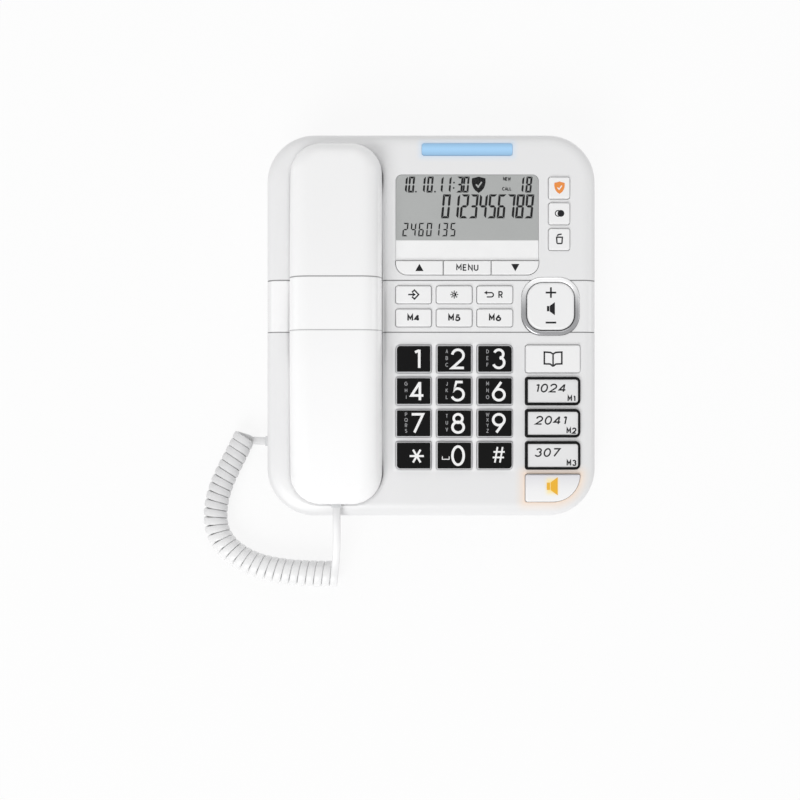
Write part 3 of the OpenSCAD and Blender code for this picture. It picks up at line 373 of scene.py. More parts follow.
def halo(x, v, w, low, high, reach, corner):
    """Share of painted light and shade round a box on the face, whose front right corner may be round.
    """
    across = (abs(x - (low.x + high.x) / 2) - (high.x - low.x) / 2).at_least(0.0)
    up = (abs(v - (low.y + high.y) / 2) - (high.y - low.y) / 2).at_least(0.0)
    distance = (across * across + up * up) ** 0.5
    if corner:
        right = (x - (high.x - corner)).at_least(0.0)
        front = (low.y + corner - v).at_least(0.0)
        distance = distance.at_least((right * right + front * front) ** 0.5 - corner)
    return (1 - distance / reach).at_least(0.0) ** 2.0 * w.rise(HALO_FLOOR, HALO_TOP)


def light_in_gap(x, v, w, start, end, height):
    """The share of light in a gap that runs up the face, from start to end across it."""
    across = x.rise(start - GAP_BLUR_LEFT, start) * (1 - x.rise(end, end + GAP_BLUR_RIGHT))
    along = v.rise(*GAP_FRONT) * (1 - v.rise(*GAP_REAR))
    return across * along * (1 - w.rise(height - GAP_BLUR_TOP, height))


# %% White plastic
WHITE = (0.82, 0.82, 0.825)
# a lighter copy of the housing's white plastic, painted lighter for the light the handset catches; the
# hands-free key's cap is painted with it too
PAINTED_LIT_WHITE = (0.92, 0.92, 0.922)
KEY_CAP_WHITE = (0.88, 0.88, 0.883)
PAINTED_SHEEN_WHITE = (0.95, 0.95, 0.952)
GROOVE_SHADE_GREY = (0.12, 0.12, 0.125)


def shell_finish(name, white=WHITE, band=None, painted_sheen=0.7, painted_light_and_shade=(), gap=None):
    """White plastic, maybe with a polished band, painted light and shade, and light in a gap."""
    f = Finish(name, white, 0.3, Specular_IOR_Level=0.5)
    peel = f.noise(1.6, 1.0)
    cloud = f.noise(40.0, 3.0)
    grain = f.noise(0.22, 2.0)
    satin = 0.30 + 0.06 * cloud + 0.05 * grain
    colour = f.mix(cloud, tuple(c * 0.985 for c in white), white)
    at = f.on_face() if band or painted_light_and_shade else ()
    if band:
        inside, groove_shade = band_masks(at[1], band)
        satin = satin - 0.17 * inside
        # besides being polished, the band is painted whiter: a painted sheen
        colour = f.mix(inside * painted_sheen, colour, PAINTED_SHEEN_WHITE)
        # the two lines are painted dark grey: painted shade in their grooves
        colour = f.mix(groove_shade * 0.8, colour, GROOVE_SHADE_GREY)
    for low, high, reach, strength, tint, corner in painted_light_and_shade:
        colour = f.mix(halo(*at, low, high, reach, corner) * strength, colour, tint)
    if gap:
        start, end, height, passed_on = gap
        between = light_in_gap(*at, start, end, height)
        f.set("Emission Color", f.mix(between, (0.0, 0.0, 0.0), (passed_on,) * 3))
        f.set("Emission Strength", 1.0)
    f.set("Base Color", colour)
    f.set("Roughness", satin)
    f.bump(peel * 0.7 + grain * 0.3, 0.012, 0.35)
    return f.material


KEY_WHITE = shell_finish("white_key_cap", KEY_CAP_WHITE)
print("white plastic nodes", len(KEY_WHITE.node_tree.nodes))

# %% [markdown]
# The places of the band and of the painted light are read from the solids beside them. A patch of
# painted light is a box on the face, how far it reaches, how strong it is, its tint and the radius of
# its round corner: painted light between the number keys, a painted highlight on the left strip's
# band, the light bar's blue glow, the lit front left corner, the hands-free key's amber glow and the
# handset's lit front. A gap is where it starts and ends across the face, its height and how much light
# stays in it.

# %% The two shells
COVER = in_face("base_top_cover")
GRIP = in_face("handset_outer_shell")
LIGHT_BAR = in_face("alert_light_bar", above=-1.0)
SPEAKER_KEY = cap_box("key_speakerphone")
NUMBERS = cap_box("key_star")[0], cap_box("key_3")[1]
LINE_DROP = 3.1
BAND = (cap_box("key_m4")[0].y - LINE_DROP, cap_box("softkey_menu")[0].y - LINE_DROP)
BAND_RIM = 0.4
LEFT_STRIP = (
    Vector((COVER[0].x, BAND[0] + BAND_RIM, 0)), Vector((GRIP[0].x, BAND[1] - BAND_RIM, 0)))
CORNER_PATCH, GRIP_PATCH_END = Vector((12, 4, 0)), -25
COVER_CORNER = COVER[0], COVER[0] + CORNER_PATCH
GRIP_FRONT = GRIP[0], Vector((GRIP[1].x, GRIP_PATCH_END, 0))
KEY_CORNER_R = 15.0
# tints of painted light on the white plastic
PAINTED_LIGHT_PALE, PAINTED_LIGHT_WHITER, PAINTED_LIGHT_WHITEST = (0.95, 0.95, 0.96), (0.96, 0.96, 0.962), (0.97, 0.97, 0.97)
BLUE_LIGHT, AMBER_LIGHT = (0.50, 0.72, 0.98), (0.98, 0.70, 0.48)
# painted light on the housing: between the number keys, a highlight on the left strip's band, the
# light bar's glow, the lit front left corner and the hands-free key's glow
COVER_PAINTED_LIGHT = (
    (*NUMBERS, 2.5, 0.7, PAINTED_LIGHT_PALE, 0), (*LEFT_STRIP, 0.5, 0.7, PAINTED_LIGHT_WHITER, 0),
    (*LIGHT_BAR, 4.5, 0.42, BLUE_LIGHT, 0), (*COVER_CORNER, 45.0, 0.9, PAINTED_LIGHT_WHITEST, 0),
    (*SPEAKER_KEY, 7.5, 0.62, AMBER_LIGHT, KEY_CORNER_R))
# painted light on the handset's front, which faces the window
GRIP_PAINTED_LIGHT = ((*GRIP_FRONT, 80.0, 0.9, PAINTED_LIGHT_WHITER, 0),)
GRIP_SIDE = GRIP[1].x
COVER_GAP = (GRIP_SIDE - 0.2, GRIP_SIDE + 0.9, -0.3, 0.11)
GRIP_GAP = (GRIP_SIDE - 1.6, GRIP_SIDE + 1.0, 20.0, 0.1)
HOUSING = shell_finish("white_housing", WHITE, BAND, 0.15, COVER_PAINTED_LIGHT, COVER_GAP)
HANDSET = shell_finish("white_handset", PAINTED_LIT_WHITE, BAND, 0.7, GRIP_PAINTED_LIGHT, GRIP_GAP)
print("polished band from", round(BAND[0], 2), "to", round(BAND[1], 2))

# %% [markdown]
# ### The other finishes
# The remaining finishes are short. The large key caps are glossy black with a trace of dust in the
# gloss, their rims are a silver grey, the ring round the volume rocker is plated, and the parts
# that are hidden under the housing get the finish of what they are made of: steel, rubber, green
# solder mask and black nylon. One function makes every plastic, one makes every metal, and only
# what follows a pattern of its own has a function to itself.

# %% Plastics
def plastic(name, colour, roughness, grain_mm=0.4, depth_mm=0.01, vary=0.06, **constants):
    """A moulded plastic: a fine grain in the surface and clouds in its shine."""
    f = Finish(name, colour, roughness, **constants)
    grain = f.noise(grain_mm, 2.0)
    cloud = f.noise(12.0, 3.0)
    f.set("Base Color", f.mix(cloud, tuple(c * (1 - vary) for c in colour), colour))
    f.set("Roughness", roughness - 0.04 + 0.08 * cloud)
    f.bump(grain, depth_mm, 0.5)
    return f.material


BLACK_CAP = plastic(
    "gloss_black_cap", (0.002, 0.002, 0.0022), 0.24, grain_mm=0.5, depth_mm=0.004, vary=0.1,
    Specular_IOR_Level=0.12)
SILVER_RIM = plastic("silver_grey_rim", (0.74, 0.74, 0.755), 0.32, Metallic=0.15)
BLACK_FRAME = plastic(
    "gloss_black_frame", (0.003, 0.003, 0.0033), 0.22, grain_mm=0.5, depth_mm=0.004, vary=0.1,
    Specular_IOR_Level=0.12)
LOWER_SHELL = plastic(
    "textured_lower_shell", (0.78, 0.78, 0.785), 0.55, grain_mm=0.35, depth_mm=0.05)
DARK_NYLON = plastic("black_nylon", (0.02, 0.02, 0.021), 0.5, grain_mm=0.3, depth_mm=0.02)
CLEAR_PLUG = plastic("clear_moulded_plug", (0.84, 0.85, 0.86), 0.14, Alpha=0.75)
SILICONE = plastic("key_sheet_silicone", (0.62, 0.63, 0.62), 0.6)
RUBBER = plastic("foot_rubber", (0.03, 0.03, 0.03), 0.75, grain_mm=0.25, depth_mm=0.04)
INK_WHITE = plastic("white_ink", (0.92, 0.92, 0.92), 0.45)
INK_GREY = plastic("grey_ink", (0.30, 0.30, 0.31), 0.5)
INK_DARK = plastic("dark_ink", (0.013, 0.013, 0.015), 0.55, Specular_IOR_Level=0.15)
BAR_BLACK = plastic("bar_black", (0.006, 0.006, 0.0065), 0.6, Specular_IOR_Level=0.11)
PENCIL = plastic(
    "soft_pencil", (0.016, 0.016, 0.018), 0.8, grain_mm=0.25, depth_mm=0.02, vary=0.4,
    Specular_IOR_Level=0.3)
PRINT_WHITE = plastic("white_print", (0.96, 0.96, 0.962), 0.4)
PAPER = plastic(
    "label_paper", (0.80, 0.80, 0.805), 0.7, grain_mm=0.18, depth_mm=0.015, vary=0.03)
ORANGE = plastic(
    "lit_orange", (0.72, 0.24, 0.045), 0.4, Emission_Color=(1, 0.3, 0.05), Emission_Strength=0.12)
AMBER = plastic(
    "lit_amber", (0.80, 0.43, 0.02), 0.4, Emission_Color=(1, 0.5, 0.05), Emission_Strength=0.06)
CELL = plastic("cell_wrap", (0.05, 0.055, 0.07), 0.35)
print("finishes so far", len(bpy.data.materials))

# %% Metals
BRUSHED_UP, BRUSHED_ACROSS = (8, 1, 1), (1, 8, 1)


def metal(name, colour, roughness, brush=None):
    """Plated or raw metal. Brush presses the grain together along an axis."""
    f = Finish(name, colour, roughness, Metallic=1.0)
    grain = f.noise(0.5, 3.0, brush)
    cloud = f.noise(6.0, 2.0)
    f.set("Base Color", f.mix(cloud, tuple(c * 0.9 for c in colour), colour))
    f.set("Roughness", roughness - 0.05 + 0.1 * grain)
    f.bump(grain, 0.004, 0.4)
    return f.material


STEEL = metal("zinc_steel", (0.58, 0.58, 0.6), 0.38, BRUSHED_ACROSS)
NICKEL = metal("nickel_spring", (0.66, 0.63, 0.56), 0.3, BRUSHED_UP)
CAST = metal("cast_weight", (0.2, 0.2, 0.21), 0.65)

# %% Plating of the ring
RING = in_face("volume_ring")
PAINTED_HIGHLIGHT_FROM, PAINTED_HIGHLIGHT_TO = RING[0].y + 12, RING[1].y + 1.5


def plated_finish():
    """Plating painted white along its rear side, a painted highlight, and darker towards the user."""
    f = Finish("plated_ring", (0.6, 0.6, 0.6), 0.2, Metallic=1.0)
    painted_highlight = f.on_face()[1].rise(PAINTED_HIGHLIGHT_FROM, PAINTED_HIGHLIGHT_TO)
    # painted highlight: the rear side is painted white and made less metallic
    f.set("Base Color", f.mix(painted_highlight, (0.34, 0.34, 0.35), (0.99, 0.99, 0.995)))
    f.set("Metallic", 1 - 0.8 * painted_highlight)
    f.set("Roughness", 0.18 + 0.1 * f.noise(1.5))
    f.bump(f.noise(0.5, 3.0), 0.004, 0.3)
    return f.material


PLATED = plated_finish()


# %% Circuit board
def board_finish():
    """Green solder mask with the faint pattern of tracks under it."""
    f = Finish("green_board", (0.01, 0.09, 0.035), 0.35)
    tracks = {"Vector": f.place(), "Scale": 160.0, "Mortar Size": 0.05}
    lines = f.node("ShaderNodeTexBrick", {}, tracks, output=1)
    f.set("Base Color", f.mix(lines, (0.01, 0.085, 0.032), (0.02, 0.16, 0.06)))
    f.set("Roughness", 0.3 + 0.1 * f.noise(3.0))
    return f.material


BOARD = board_finish()


# %% Light bar
def light_bar_finish():
    """A milky light guide: brighter along its middle, where the lamps behind it are."""
    f = Finish("light_guide", (0.36, 0.64, 0.95), 0.25)
    front, rear = LIGHT_BAR[0].y, LIGHT_BAR[1].y
    middle = 1 - abs(f.on_face()[1] - (front + rear) / 2) / ((rear - front) / 2)
    glow = middle.rise(-0.4, 1.0)
    f.set("Base Color", f.mix(glow, (0.24, 0.42, 0.62), (0.34, 0.58, 0.82)))
    f.set("Emission Color", f.mix(glow, (0.02, 0.04, 0.06), (0.05, 0.08, 0.12)))
    f.set("Emission Strength", 1.0)
    f.set("Roughness", 0.2 + 0.08 * f.noise(2.0))
    return f.material


LIGHT_GUIDE = light_bar_finish()


# %% Display's crystal and window
def crystal_finish():
    """A liquid crystal panel: flat grey with the fine dots of its polariser."""
    f = Finish("liquid_crystal", (0.42, 0.44, 0.43), 0.5, Specular_IOR_Level=0.3)
    dots = f.noise(0.28, 0.0)
    cloud = f.noise(30.0, 2.0)
    f.set("Base Color", f.mix(dots * 0.7 + cloud * 0.3, (0.405, 0.415, 0.41), (0.48, 0.49, 0.485)))
    f.set("Roughness", 0.45 + 0.1 * cloud)
    return f.material


def window_finish():
    """Clear acrylic, thin enough not to bend the light that goes through it."""
    f = Finish("clear_window", (0.30, 0.31, 0.31), 0.06, Alpha=0.03)
    f.set("Roughness", 0.05 + 0.03 * f.noise(5.0))
    return f.material


CRYSTAL = crystal_finish()
WINDOW = window_finish()

# %% Cord's jacket
JACKET_SHADE = -132, -100


def cord_finish():
    """The cord's soft jacket, with painted light towards the user and painted shade beside the base.
    """
    f = Finish("white_cord_jacket", (0.8, 0.8, 0.8), 0.34)
    # painted light and shade: lighter where the lamp in front falls on the coil, darker beside the
    # base
    painted_shade = f.on_face()[1].rise(*JACKET_SHADE)
    f.set("Base Color", f.mix(painted_shade, (0.88, 0.88, 0.883), (0.745, 0.745, 0.75)))
    f.set("Roughness", 0.30 + 0.08 * f.noise(12.0, 3.0))
    f.bump(f.noise(0.8), 0.02, 0.5)
    return f.material


CORD_JACKET = cord_finish()
print("finishes", len(bpy.data.materials))

# %% [markdown]
# ## The curly cord
# A handset cord is a flat flexible lead that is wound hot round a rod, so it keeps its curls. It
# leaves a socket in the left side of the base, its coil lies on the table in a bend round the
# base's front corner, and a short straight end rises to the socket in the handset's tip.
#
# A curve with a bevel can't turn its flat section with the curls, so the cord is a mesh: a rounded
# flat section is carried along the helix, its wide side always along the coil's axis. Where the
# coil bends, the curls crowd together on the inside, and the section is drawn in there, as the soft
# jacket of the real one gives way.

# %% The coil's route on the table, in metres
COIL_ROUTE = [
    (-0.1082, -0.0639), (-0.1123, -0.0728), (-0.1164, -0.0813), (-0.1202, -0.0899), (-0.1229, -0.0987),
    (-0.124, -0.1077), (-0.123, -0.1168), (-0.119, -0.125), (-0.1124, -0.1313), (-0.1044, -0.136),
    (-0.0955, -0.1392), (-0.0861, -0.1411), (-0.0766, -0.1422), (-0.0674, -0.1427), (-0.0587, -0.1429),
    (-0.0547, -0.1429)]
CURLS = 29.5
COIL_START_D, COIL_END_D = 0.013, 0.015
WIRE_W = 0.0044
WIRE_T = 0.0024
CURL_RINGS = 24
CURL_PLAY = 0.00012
TABLE_PLAY = 0.0001
SPLINE_STEPS = 12


def smooth_line(points):
    """A curve through the points, with extra ones between each pair."""
    points = [Vector(p) for p in points]
    ends = [2 * points[0] - points[1]] + points + [2 * points[-1] - points[-2]]
    line = []
    for a, b, c, d in zip(ends, ends[1:], ends[2:], ends[3:]):
        for j in range(SPLINE_STEPS):
            u = j / SPLINE_STEPS
            bend = (2 * a - 5 * b + 4 * c - d) * u ** 2 + (3 * b - a - 3 * c + d) * u ** 3
            line.append(0.5 * (2 * b + (c - a) * u + bend))
    return line + [points[-1]]


AXIS = smooth_line(COIL_ROUTE)
RUN = [0.0]
for before, after in zip(AXIS, AXIS[1:]):
    RUN.append(RUN[-1] + (after - before).length)
COIL_LEN = RUN[-1]


def on_axis(s):
    """The point of the coil's axis at a distance from its start."""
    s = min(max(s, 0.0), COIL_LEN)
    i = next((k for k in range(1, len(RUN)) if RUN[k] >= s), len(RUN) - 1)
    share = (s - RUN[i - 1]) / (RUN[i] - RUN[i - 1])
    return AXIS[i - 1].lerp(AXIS[i], share)


# %% The curls
AXIS_REACH = 0.002
steps = int(CURLS * CURL_RINGS)
helix, helix_out = [], []
for i in range(steps + 1):
    s = COIL_LEN * i / steps
    centre = on_axis(s)
    way = (on_axis(s + AXIS_REACH) - on_axis(s - AXIS_REACH)).normalized()
    a = math.radians(-90 - 360 * CURLS * i / steps)
    out = Vector((-way.y * math.cos(a), way.x * math.cos(a), math.sin(a)))
    wide = COIL_START_D + (COIL_END_D - COIL_START_D) * i / steps
    helix.append(Vector((centre.x, centre.y, wide / 2 + TABLE_PLAY)) + (wide - WIRE_T) / 2 * out)
    helix_out.append(out)
print("coil", round(COIL_LEN, 4), "m long, a curl every", round(COIL_LEN / CURLS, 5))

# %% [markdown]
# The two ends run into the plugs' tails. The middle of each tail's end comes from the plug's own
# points, so the cord meets the plugs wherever the sockets are.

# %% The straight ends
TIP_DEPTH = 0.1
left_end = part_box("base_cord_plug")[0].x + TIP_DEPTH * MM
base_tip = [v.co for v in NODES["base_cord_plug"].data.vertices if v.co.x < left_end]
base_exit = sum(base_tip, Vector()) / len(base_tip)
front_end = in_face("handset_cord_plug")[0].y + TIP_DEPTH
back = FACE.inverted()
handset_tip = [
    v.co for v in NODES["handset_cord_plug"].data.vertices if (back @ v.co).y < front_end]
handset_exit = sum(handset_tip, Vector()) / len(handset_tip)
LEFT, TO_USER = Vector((-1, 0, 0)), -UP_FACE
BASE_PULL, COIL_START_PULL, COIL_END_PULL, HANDSET_PULL = 0.009, 0.005, 0.015, 0.016
BASE_STEPS, HANDSET_STEPS = 22, 30
print("exits", [round(c, 4) for c in base_exit], [round(c, 4) for c in handset_exit])


def bezier(a, b, c, d, count):
    """A bend from a to d that sets out towards b and comes in from c."""
    line = []
    for i in range(count + 1):
        u = i / count
        line.append(a * (1 - u) ** 3 + 3 * b * u * (1 - u) ** 2 + 3 * c * u * u * (1 - u) + d * u ** 3)
    return line


first_way = (helix[1] - helix[0]).normalized()
last_way = (helix[-1] - helix[-2]).normalized()
base_lead = bezier(
    base_exit, base_exit + BASE_PULL * LEFT, helix[0] - COIL_START_PULL * first_way, helix[0],
    BASE_STEPS)
handset_lead = bezier(
    helix[-1], helix[-1] + COIL_END_PULL * last_way, handset_exit + HANDSET_PULL * TO_USER,
    handset_exit, HANDSET_STEPS)
path = base_lead[:-1] + helix + handset_lead[1:]
down, up = Vector((0, 0, -1)), Vector((0, 0, 1))
outward = [down] * (len(base_lead) - 1) + helix_out + [up] * (len(handset_lead) - 1)

# %% The cord's skin
SECTION = 12
WIDE_ROUNDING, THICK_ROUNDING = 0.55, 0.7


def flat_ring(i, width):
    """One rounded flat section of the cord, square to its path."""
    before, after = path[max(i - 1, 0)], path[min(i + 1, len(path) - 1)]
    way = (after - before).normalized()
    if i == 0:
        way = LEFT
    if i == len(path) - 1:
        way = -TO_USER
    out = (outward[i] - way * outward[i].dot(way)).normalized()
    side = way.cross(out)
    points = []
    for k in range(SECTION):
        a = math.tau * (k + 0.5) / SECTION
        wide = math.copysign(abs(math.cos(a)) ** WIDE_ROUNDING, math.cos(a)) * width / 2
        thick = math.copysign(abs(math.sin(a)) ** THICK_ROUNDING, math.sin(a)) * WIRE_T / 2
        points.append(path[i] + side * wide + out * thick)
    return points


def room_for_curl(i):
    """How wide a ring of the cord may be without touching the curls beside it."""
    nearest = WIRE_W + CURL_PLAY
    for away in range(CURL_RINGS - 4, CURL_RINGS + 5):
        for j in (i - away, i + away):
            if len(base_lead) <= j < len(base_lead) + len(helix):
                nearest = min(nearest, (path[i] - path[j]).length)
    return nearest - CURL_PLAY


widths = [min(WIRE_W, room_for_curl(i)) for i in range(len(path))]
skin = bmesh.new()
loft(skin, [flat_ring(i, widths[i]) for i in range(len(path))])
cord = piece(
    "curly_cord", skin, "base", [CORD_JACKET], ["handset_cord"], Matrix(),
    riding=False)
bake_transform(cord)
cord_length = sum((b - a).length for a, b in zip(path, path[1:]))
print("cord", round(cord_length, 4), "m, narrowest section", round(min(widths), 5))

# %% [markdown]
# ## Printed legends
# Figures and letters are pad printed on the caps. A font would be the quick way, but the figures
# here are drawn with one even pen, so each one is a few strokes: straight lines and arcs through
# a box that is one unit high. `ribbon` gives a stroke its width and a thickness of a few hundredths
# of a millimetre, as ink has, and mitres its corners.

# %% Strokes
def arc(x, y, rx, ry, start, end, steps=None):
    """Points of an arc of an ellipse, in degrees, anticlockwise if end is over start."""
    steps = steps or max(4, int(abs(end - start) / 12))
    points = []
    for i in range(steps + 1):
        a = math.radians(start + (end - start) * i / steps)
        points.append((x + rx * math.cos(a), y + ry * math.sin(a)))
    return points


GLYPHS = {
    "0": [arc(0.31, 0.5, 0.31, 0.5, 90, 450, 32)],
    "1": [[(0.21, 1.0), (0.21, 0)], [(-0.02, 0.86), (0.2, 0.96)]],
    "2": [arc(0.31, 0.69, 0.31, 0.31, 172, -48) + [(0, 0), (0.64, 0)]],
    "3": [arc(0.29, 0.755, 0.25, 0.245, 158, -78), arc(0.29, 0.295, 0.30, 0.295, 80, -160)],
    "4": [[(0.47, 0), (0.47, 1.0)], [(0.46, 0.97), (0.01, 0.26), (0.66, 0.26)]],
    "5": [[(0.56, 1), (0.21, 1), (0.1, 0.57)] + arc(0.28, 0.32, 0.33, 0.32, 118, -158)],
    "6": [[(0.44, 1), (0.045, 0.45)], arc(0.31, 0.3, 0.31, 0.3, 150, 510, 28)],
    "7": [[(0, 1), (0.62, 1), (0.15, 0)]],
    "8": [arc(0.31, 0.77, 0.24, 0.23, 90, 450, 26), arc(0.31, 0.29, 0.31, 0.29, 90, 450, 28)],
    "9": [[(0.18, 0), (0.575, 0.55)], arc(0.31, 0.7, 0.31, 0.3, -30, 330, 28)],
    "#": [[(0.1, 0.08), (0.24, 0.9)], [(0.37, 0.08), (0.51, 0.9)], [(0.03, 0.64), (0.62, 0.64)],
          [(-0.01, 0.35), (0.58, 0.35)]],
    "*": [[(-0.06, 0.42), (0.7, 0.42)], [(0.12, 0.08), (0.52, 0.76)], [(0.12, 0.76), (0.52, 0.08)]],
    "_": [[(0, 0.45), (0, 0), (1, 0), (1, 0.45)]],
    "A": [[(0, 0), (0.3, 1), (0.6, 0)], [(0.11, 0.34), (0.49, 0.34)]],
    "B": [[(0, 0), (0, 1), (0.28, 1)] + arc(0.28, 0.77, 0.22, 0.23, 90, -90) + [(0, 0.54)],
          [(0.28, 0.54)] + arc(0.28, 0.27, 0.26, 0.27, 90, -90) + [(0, 0)]],
    "C": [arc(0.42, 0.5, 0.42, 0.5, 48, 312)],
    "D": [[(0, 0), (0, 1), (0.2, 1)] + arc(0.2, 0.5, 0.4, 0.5, 90, -90) + [(0, 0)]],
    "E": [[(0.5, 1), (0, 1), (0, 0), (0.5, 0)], [(0, 0.52), (0.44, 0.52)]],
    "F": [[(0.5, 1), (0, 1), (0, 0)], [(0, 0.52), (0.42, 0.52)]],
    "G": [arc(0.42, 0.5, 0.42, 0.5, 48, 360) + [(0.46, 0.5)]],
    "H": [[(0, 0), (0, 1)], [(0.58, 0), (0.58, 1)], [(0, 0.52), (0.58, 0.52)]],
    "I": [[(0.1, 0), (0.1, 1)]],
    "J": [[(0.4, 1), (0.4, 0.25)] + arc(0.2, 0.25, 0.2, 0.25, 0, -160)],
    "K": [[(0, 0), (0, 1)], [(0.5, 1), (0, 0.42)], [(0.16, 0.58), (0.54, 0)]],
    "L": [[(0, 1), (0, 0), (0.46, 0)]],
    "M": [[(0, 0), (0, 1), (0.34, 0.36), (0.68, 1), (0.68, 0)]],
    "N": [[(0, 0), (0, 1), (0.58, 0), (0.58, 1)]],
    "O": [arc(0.42, 0.5, 0.42, 0.5, 90, 450, 28)],
    "P": [[(0, 0), (0, 1), (0.28, 1)] + arc(0.28, 0.74, 0.24, 0.26, 90, -90) + [(0, 0.48)]],
    "S": [arc(0.26, 0.75, 0.24, 0.25, 40, 270) + arc(0.26, 0.25, 0.26, 0.25, 90, -145)],
    "T": [[(0, 1), (0.56, 1)], [(0.28, 1), (0.28, 0)]],
    "U": [[(0, 1), (0, 0.28)] + arc(0.28, 0.28, 0.28, 0.28, 180, 360) + [(0.56, 1)]],
    "V": [[(0, 1), (0.3, 0), (0.6, 1)]],
    "W": [[(0, 1), (0.22, 0), (0.44, 0.8), (0.66, 0), (0.88, 1)]],
    "X": [[(0, 0), (0.56, 1)], [(0, 1), (0.56, 0)]],
    "Y": [[(0, 1), (0.28, 0.5), (0.56, 1)], [(0.28, 0.5), (0.28, 0)]],
    "Z": [[(0, 1), (0.54, 1), (0, 0), (0.54, 0)]],
}
GLYPHS["Q"] = GLYPHS["O"] + [[(0.5, 0.24), (0.8, -0.04)]]
GLYPHS["R"] = GLYPHS["P"] + [[(0.26, 0.48), (0.52, 0)]]
print("glyphs", len(GLYPHS))

# %% Ink
INK, INK_STEP, INK_ROOT = 0.03, 0.004, 0.01
SAME_POINT, SAME_END = 1e-5, 1e-4
SHARPEST_MITRE = 0.35


def ribbon(bm, line, pen, low, high, material=0):
    """A flat band of ink along a line of points."""
    line = [Vector(p) for p in line]
    line = [p for i, p in enumerate(line) if i == 0 or (p - line[i - 1]).length > SAME_POINT]
    ring = (line[0] - line[-1]).length < SAME_END
    line = line[:-1] if ring else line
    count = len(line)
    rows = []
    for i, here in enumerate(line):
        ways = []
        if ring or i > 0:
            ways.append((here - line[i - 1]).normalized())
        if ring or i < count - 1:
            ways.append((line[(i + 1) % count] - here).normalized())
        way = (ways[0] + ways[-1]).normalized()
        reach = pen / 2 / max(way.dot(ways[0]), SHARPEST_MITRE)
        side = Vector((-way.y, way.x)) * reach
        corners = [(-1, low), (1, low), (1, high), (-1, high)]
        rows.append([bm.verts.new((here.x + s * side.x, here.y + s * side.y, z)) for s, z in corners])
    for i in range(count if ring else count - 1):
        a, b = rows[i], rows[(i + 1) % count]
        for k in range(4):
            m = (k + 1) % 4
            bm.faces.new((a[k], a[m], b[m], b[k])).material_index = material
    if not ring:
        bm.faces.new(rows[0]).material_index = material
        bm.faces.new(rows[-1][::-1]).material_index = material


def plate(bm, outline, low, high, material=0):
    """A filled shape of ink."""
    loft(bm, [[(x, y, low) for x, y in outline], [(x, y, high) for x, y in outline]], material)


def word_width(word, gap):
    """Width of a word that is one unit high, and the start of each letter."""
    starts, x = [], 0.0
    for letter in word:
        starts.append(x)
        x += max(point[0] for stroke in GLYPHS[letter] for point in stroke) + gap
    return x - gap, starts


def write(bm, word, centre, height, pen, floor, gap=0.3, slant=0.0, stretch=1.0, material=0):
    """Writes a word around a centre. Height is the height of the ink, pen and all."""
    size = height - pen
    width, starts = word_width(word, gap)
    for letter, start in zip(word, starts):
        for order, stroke in enumerate(GLYPHS[letter]):
            line = []
            for x, y in stroke:
                px = centre[0] + ((x + start - width / 2) * stretch + (y - 0.5) * slant) * size
                line.append((px, centre[1] + (y - 0.5) * size))
            ribbon(bm, line, pen, floor - INK_ROOT, floor + INK + order * INK_STEP, material)


# %% [markdown]
# ## Number keys
# A number key is a silver grey skirt with a glossy black cap on it. The cap's edge is rounded a
# third of a millimetre, which is what catches the light and makes a key look pressed from plastic
# and not cut from card. Each key stands where its solid stands, so its outline is read from that.
# The outer corners of the block of keys are rounder than the inner ones.

# %% Key blocks
FLANGE_LOW, FLANGE_HIGH = -3.95, -2.75
FLANGE_CORNER = 0.4
SKIRT_TOP, SKIRT_EDGE = 0.9, 0.22
JOIN = 0.01
CAP_ROOT = SKIRT_TOP - 0.1
CORNER, OUTER_CORNER = 1.2, 2.6


def key_base(bm, name, low, high, radii):
    """The flange under the cover and the skirt that comes up through its window."""
    wide_radii = [max(r, FLANGE_CORNER) for r in radii]
    block(bm, *in_face(name), wide_radii, [(0, FLANGE_LOW), (0, FLANGE_HIGH)])
    block(bm, low, high, radii, [(0, FLANGE_HIGH - JOIN)] + edge(SKIRT_TOP, SKIRT_EDGE))


# %% Number keys
NUMBER_KEYS = {
    "key_1": ("1", ""), "key_2": ("2", "ABC"), "key_3": ("3", "DEF"), "key_4": ("4", "GHI"),
    "key_5": ("5", "JKL"), "key_6": ("6", "MNO"), "key_7": ("7", "PQRS"), "key_8": ("8", "TUV"),
    "key_9": ("9", "WXYZ"), "key_star": ("*", ""), "key_0": ("0", "_"), "key_hash": ("#", "")}
ROUND_OUTSIDE = {
    "key_1": REAR_LEFT, "key_3": REAR_RIGHT, "key_star": FRONT_LEFT, "key_hash": FRONT_RIGHT}
RIM_W, BLACK_EDGE = 0.65, 0.32
FIGURE_H, FIGURE_PEN, FIGURE_SHIFT = 11.6, 1.42, 2.1
SIGN_PENS, SIGN_LIFT = {"*": 1.1, "#": 0.92}, 0.6
LETTER_H, LETTER_PEN, LETTER_SHIFT, LETTER_LIFT = 2.2, 0.36, -4.2, 0.4
LETTER_PITCH = {3: 3.75, 4: 3.05}
SPACE_H, SPACE_PEN, SPACE_SHIFT, SPACE_LIFT, SPACE_STRETCH = 3.9, 0.45, -4.8, -0.3, 1.1


def letter_column(name, letters, middle, top):
    """The small letters left of a figure, one under the other."""
    bm = bmesh.new()
    for i, letter in enumerate(letters):
        up = LETTER_PITCH[len(letters)] * ((len(letters) - 1) / 2 - i)
        at = (middle.x + LETTER_SHIFT, middle.y + LETTER_LIFT + up)
        write(bm, letter, at, LETTER_H, LETTER_PEN, top)
    piece(f"{name}_letters", bm, name, [INK_GREY])


def space_sign(name, middle, top):
    """The sign for a space, which key 0 has in place of letters."""
    bm = bmesh.new()
    at = (middle.x + SPACE_SHIFT, middle.y + SPACE_LIFT)
    write(bm, "_", at, SPACE_H, SPACE_PEN, top, stretch=SPACE_STRETCH)
    piece(f"{name}_letters", bm, name, [INK_WHITE])


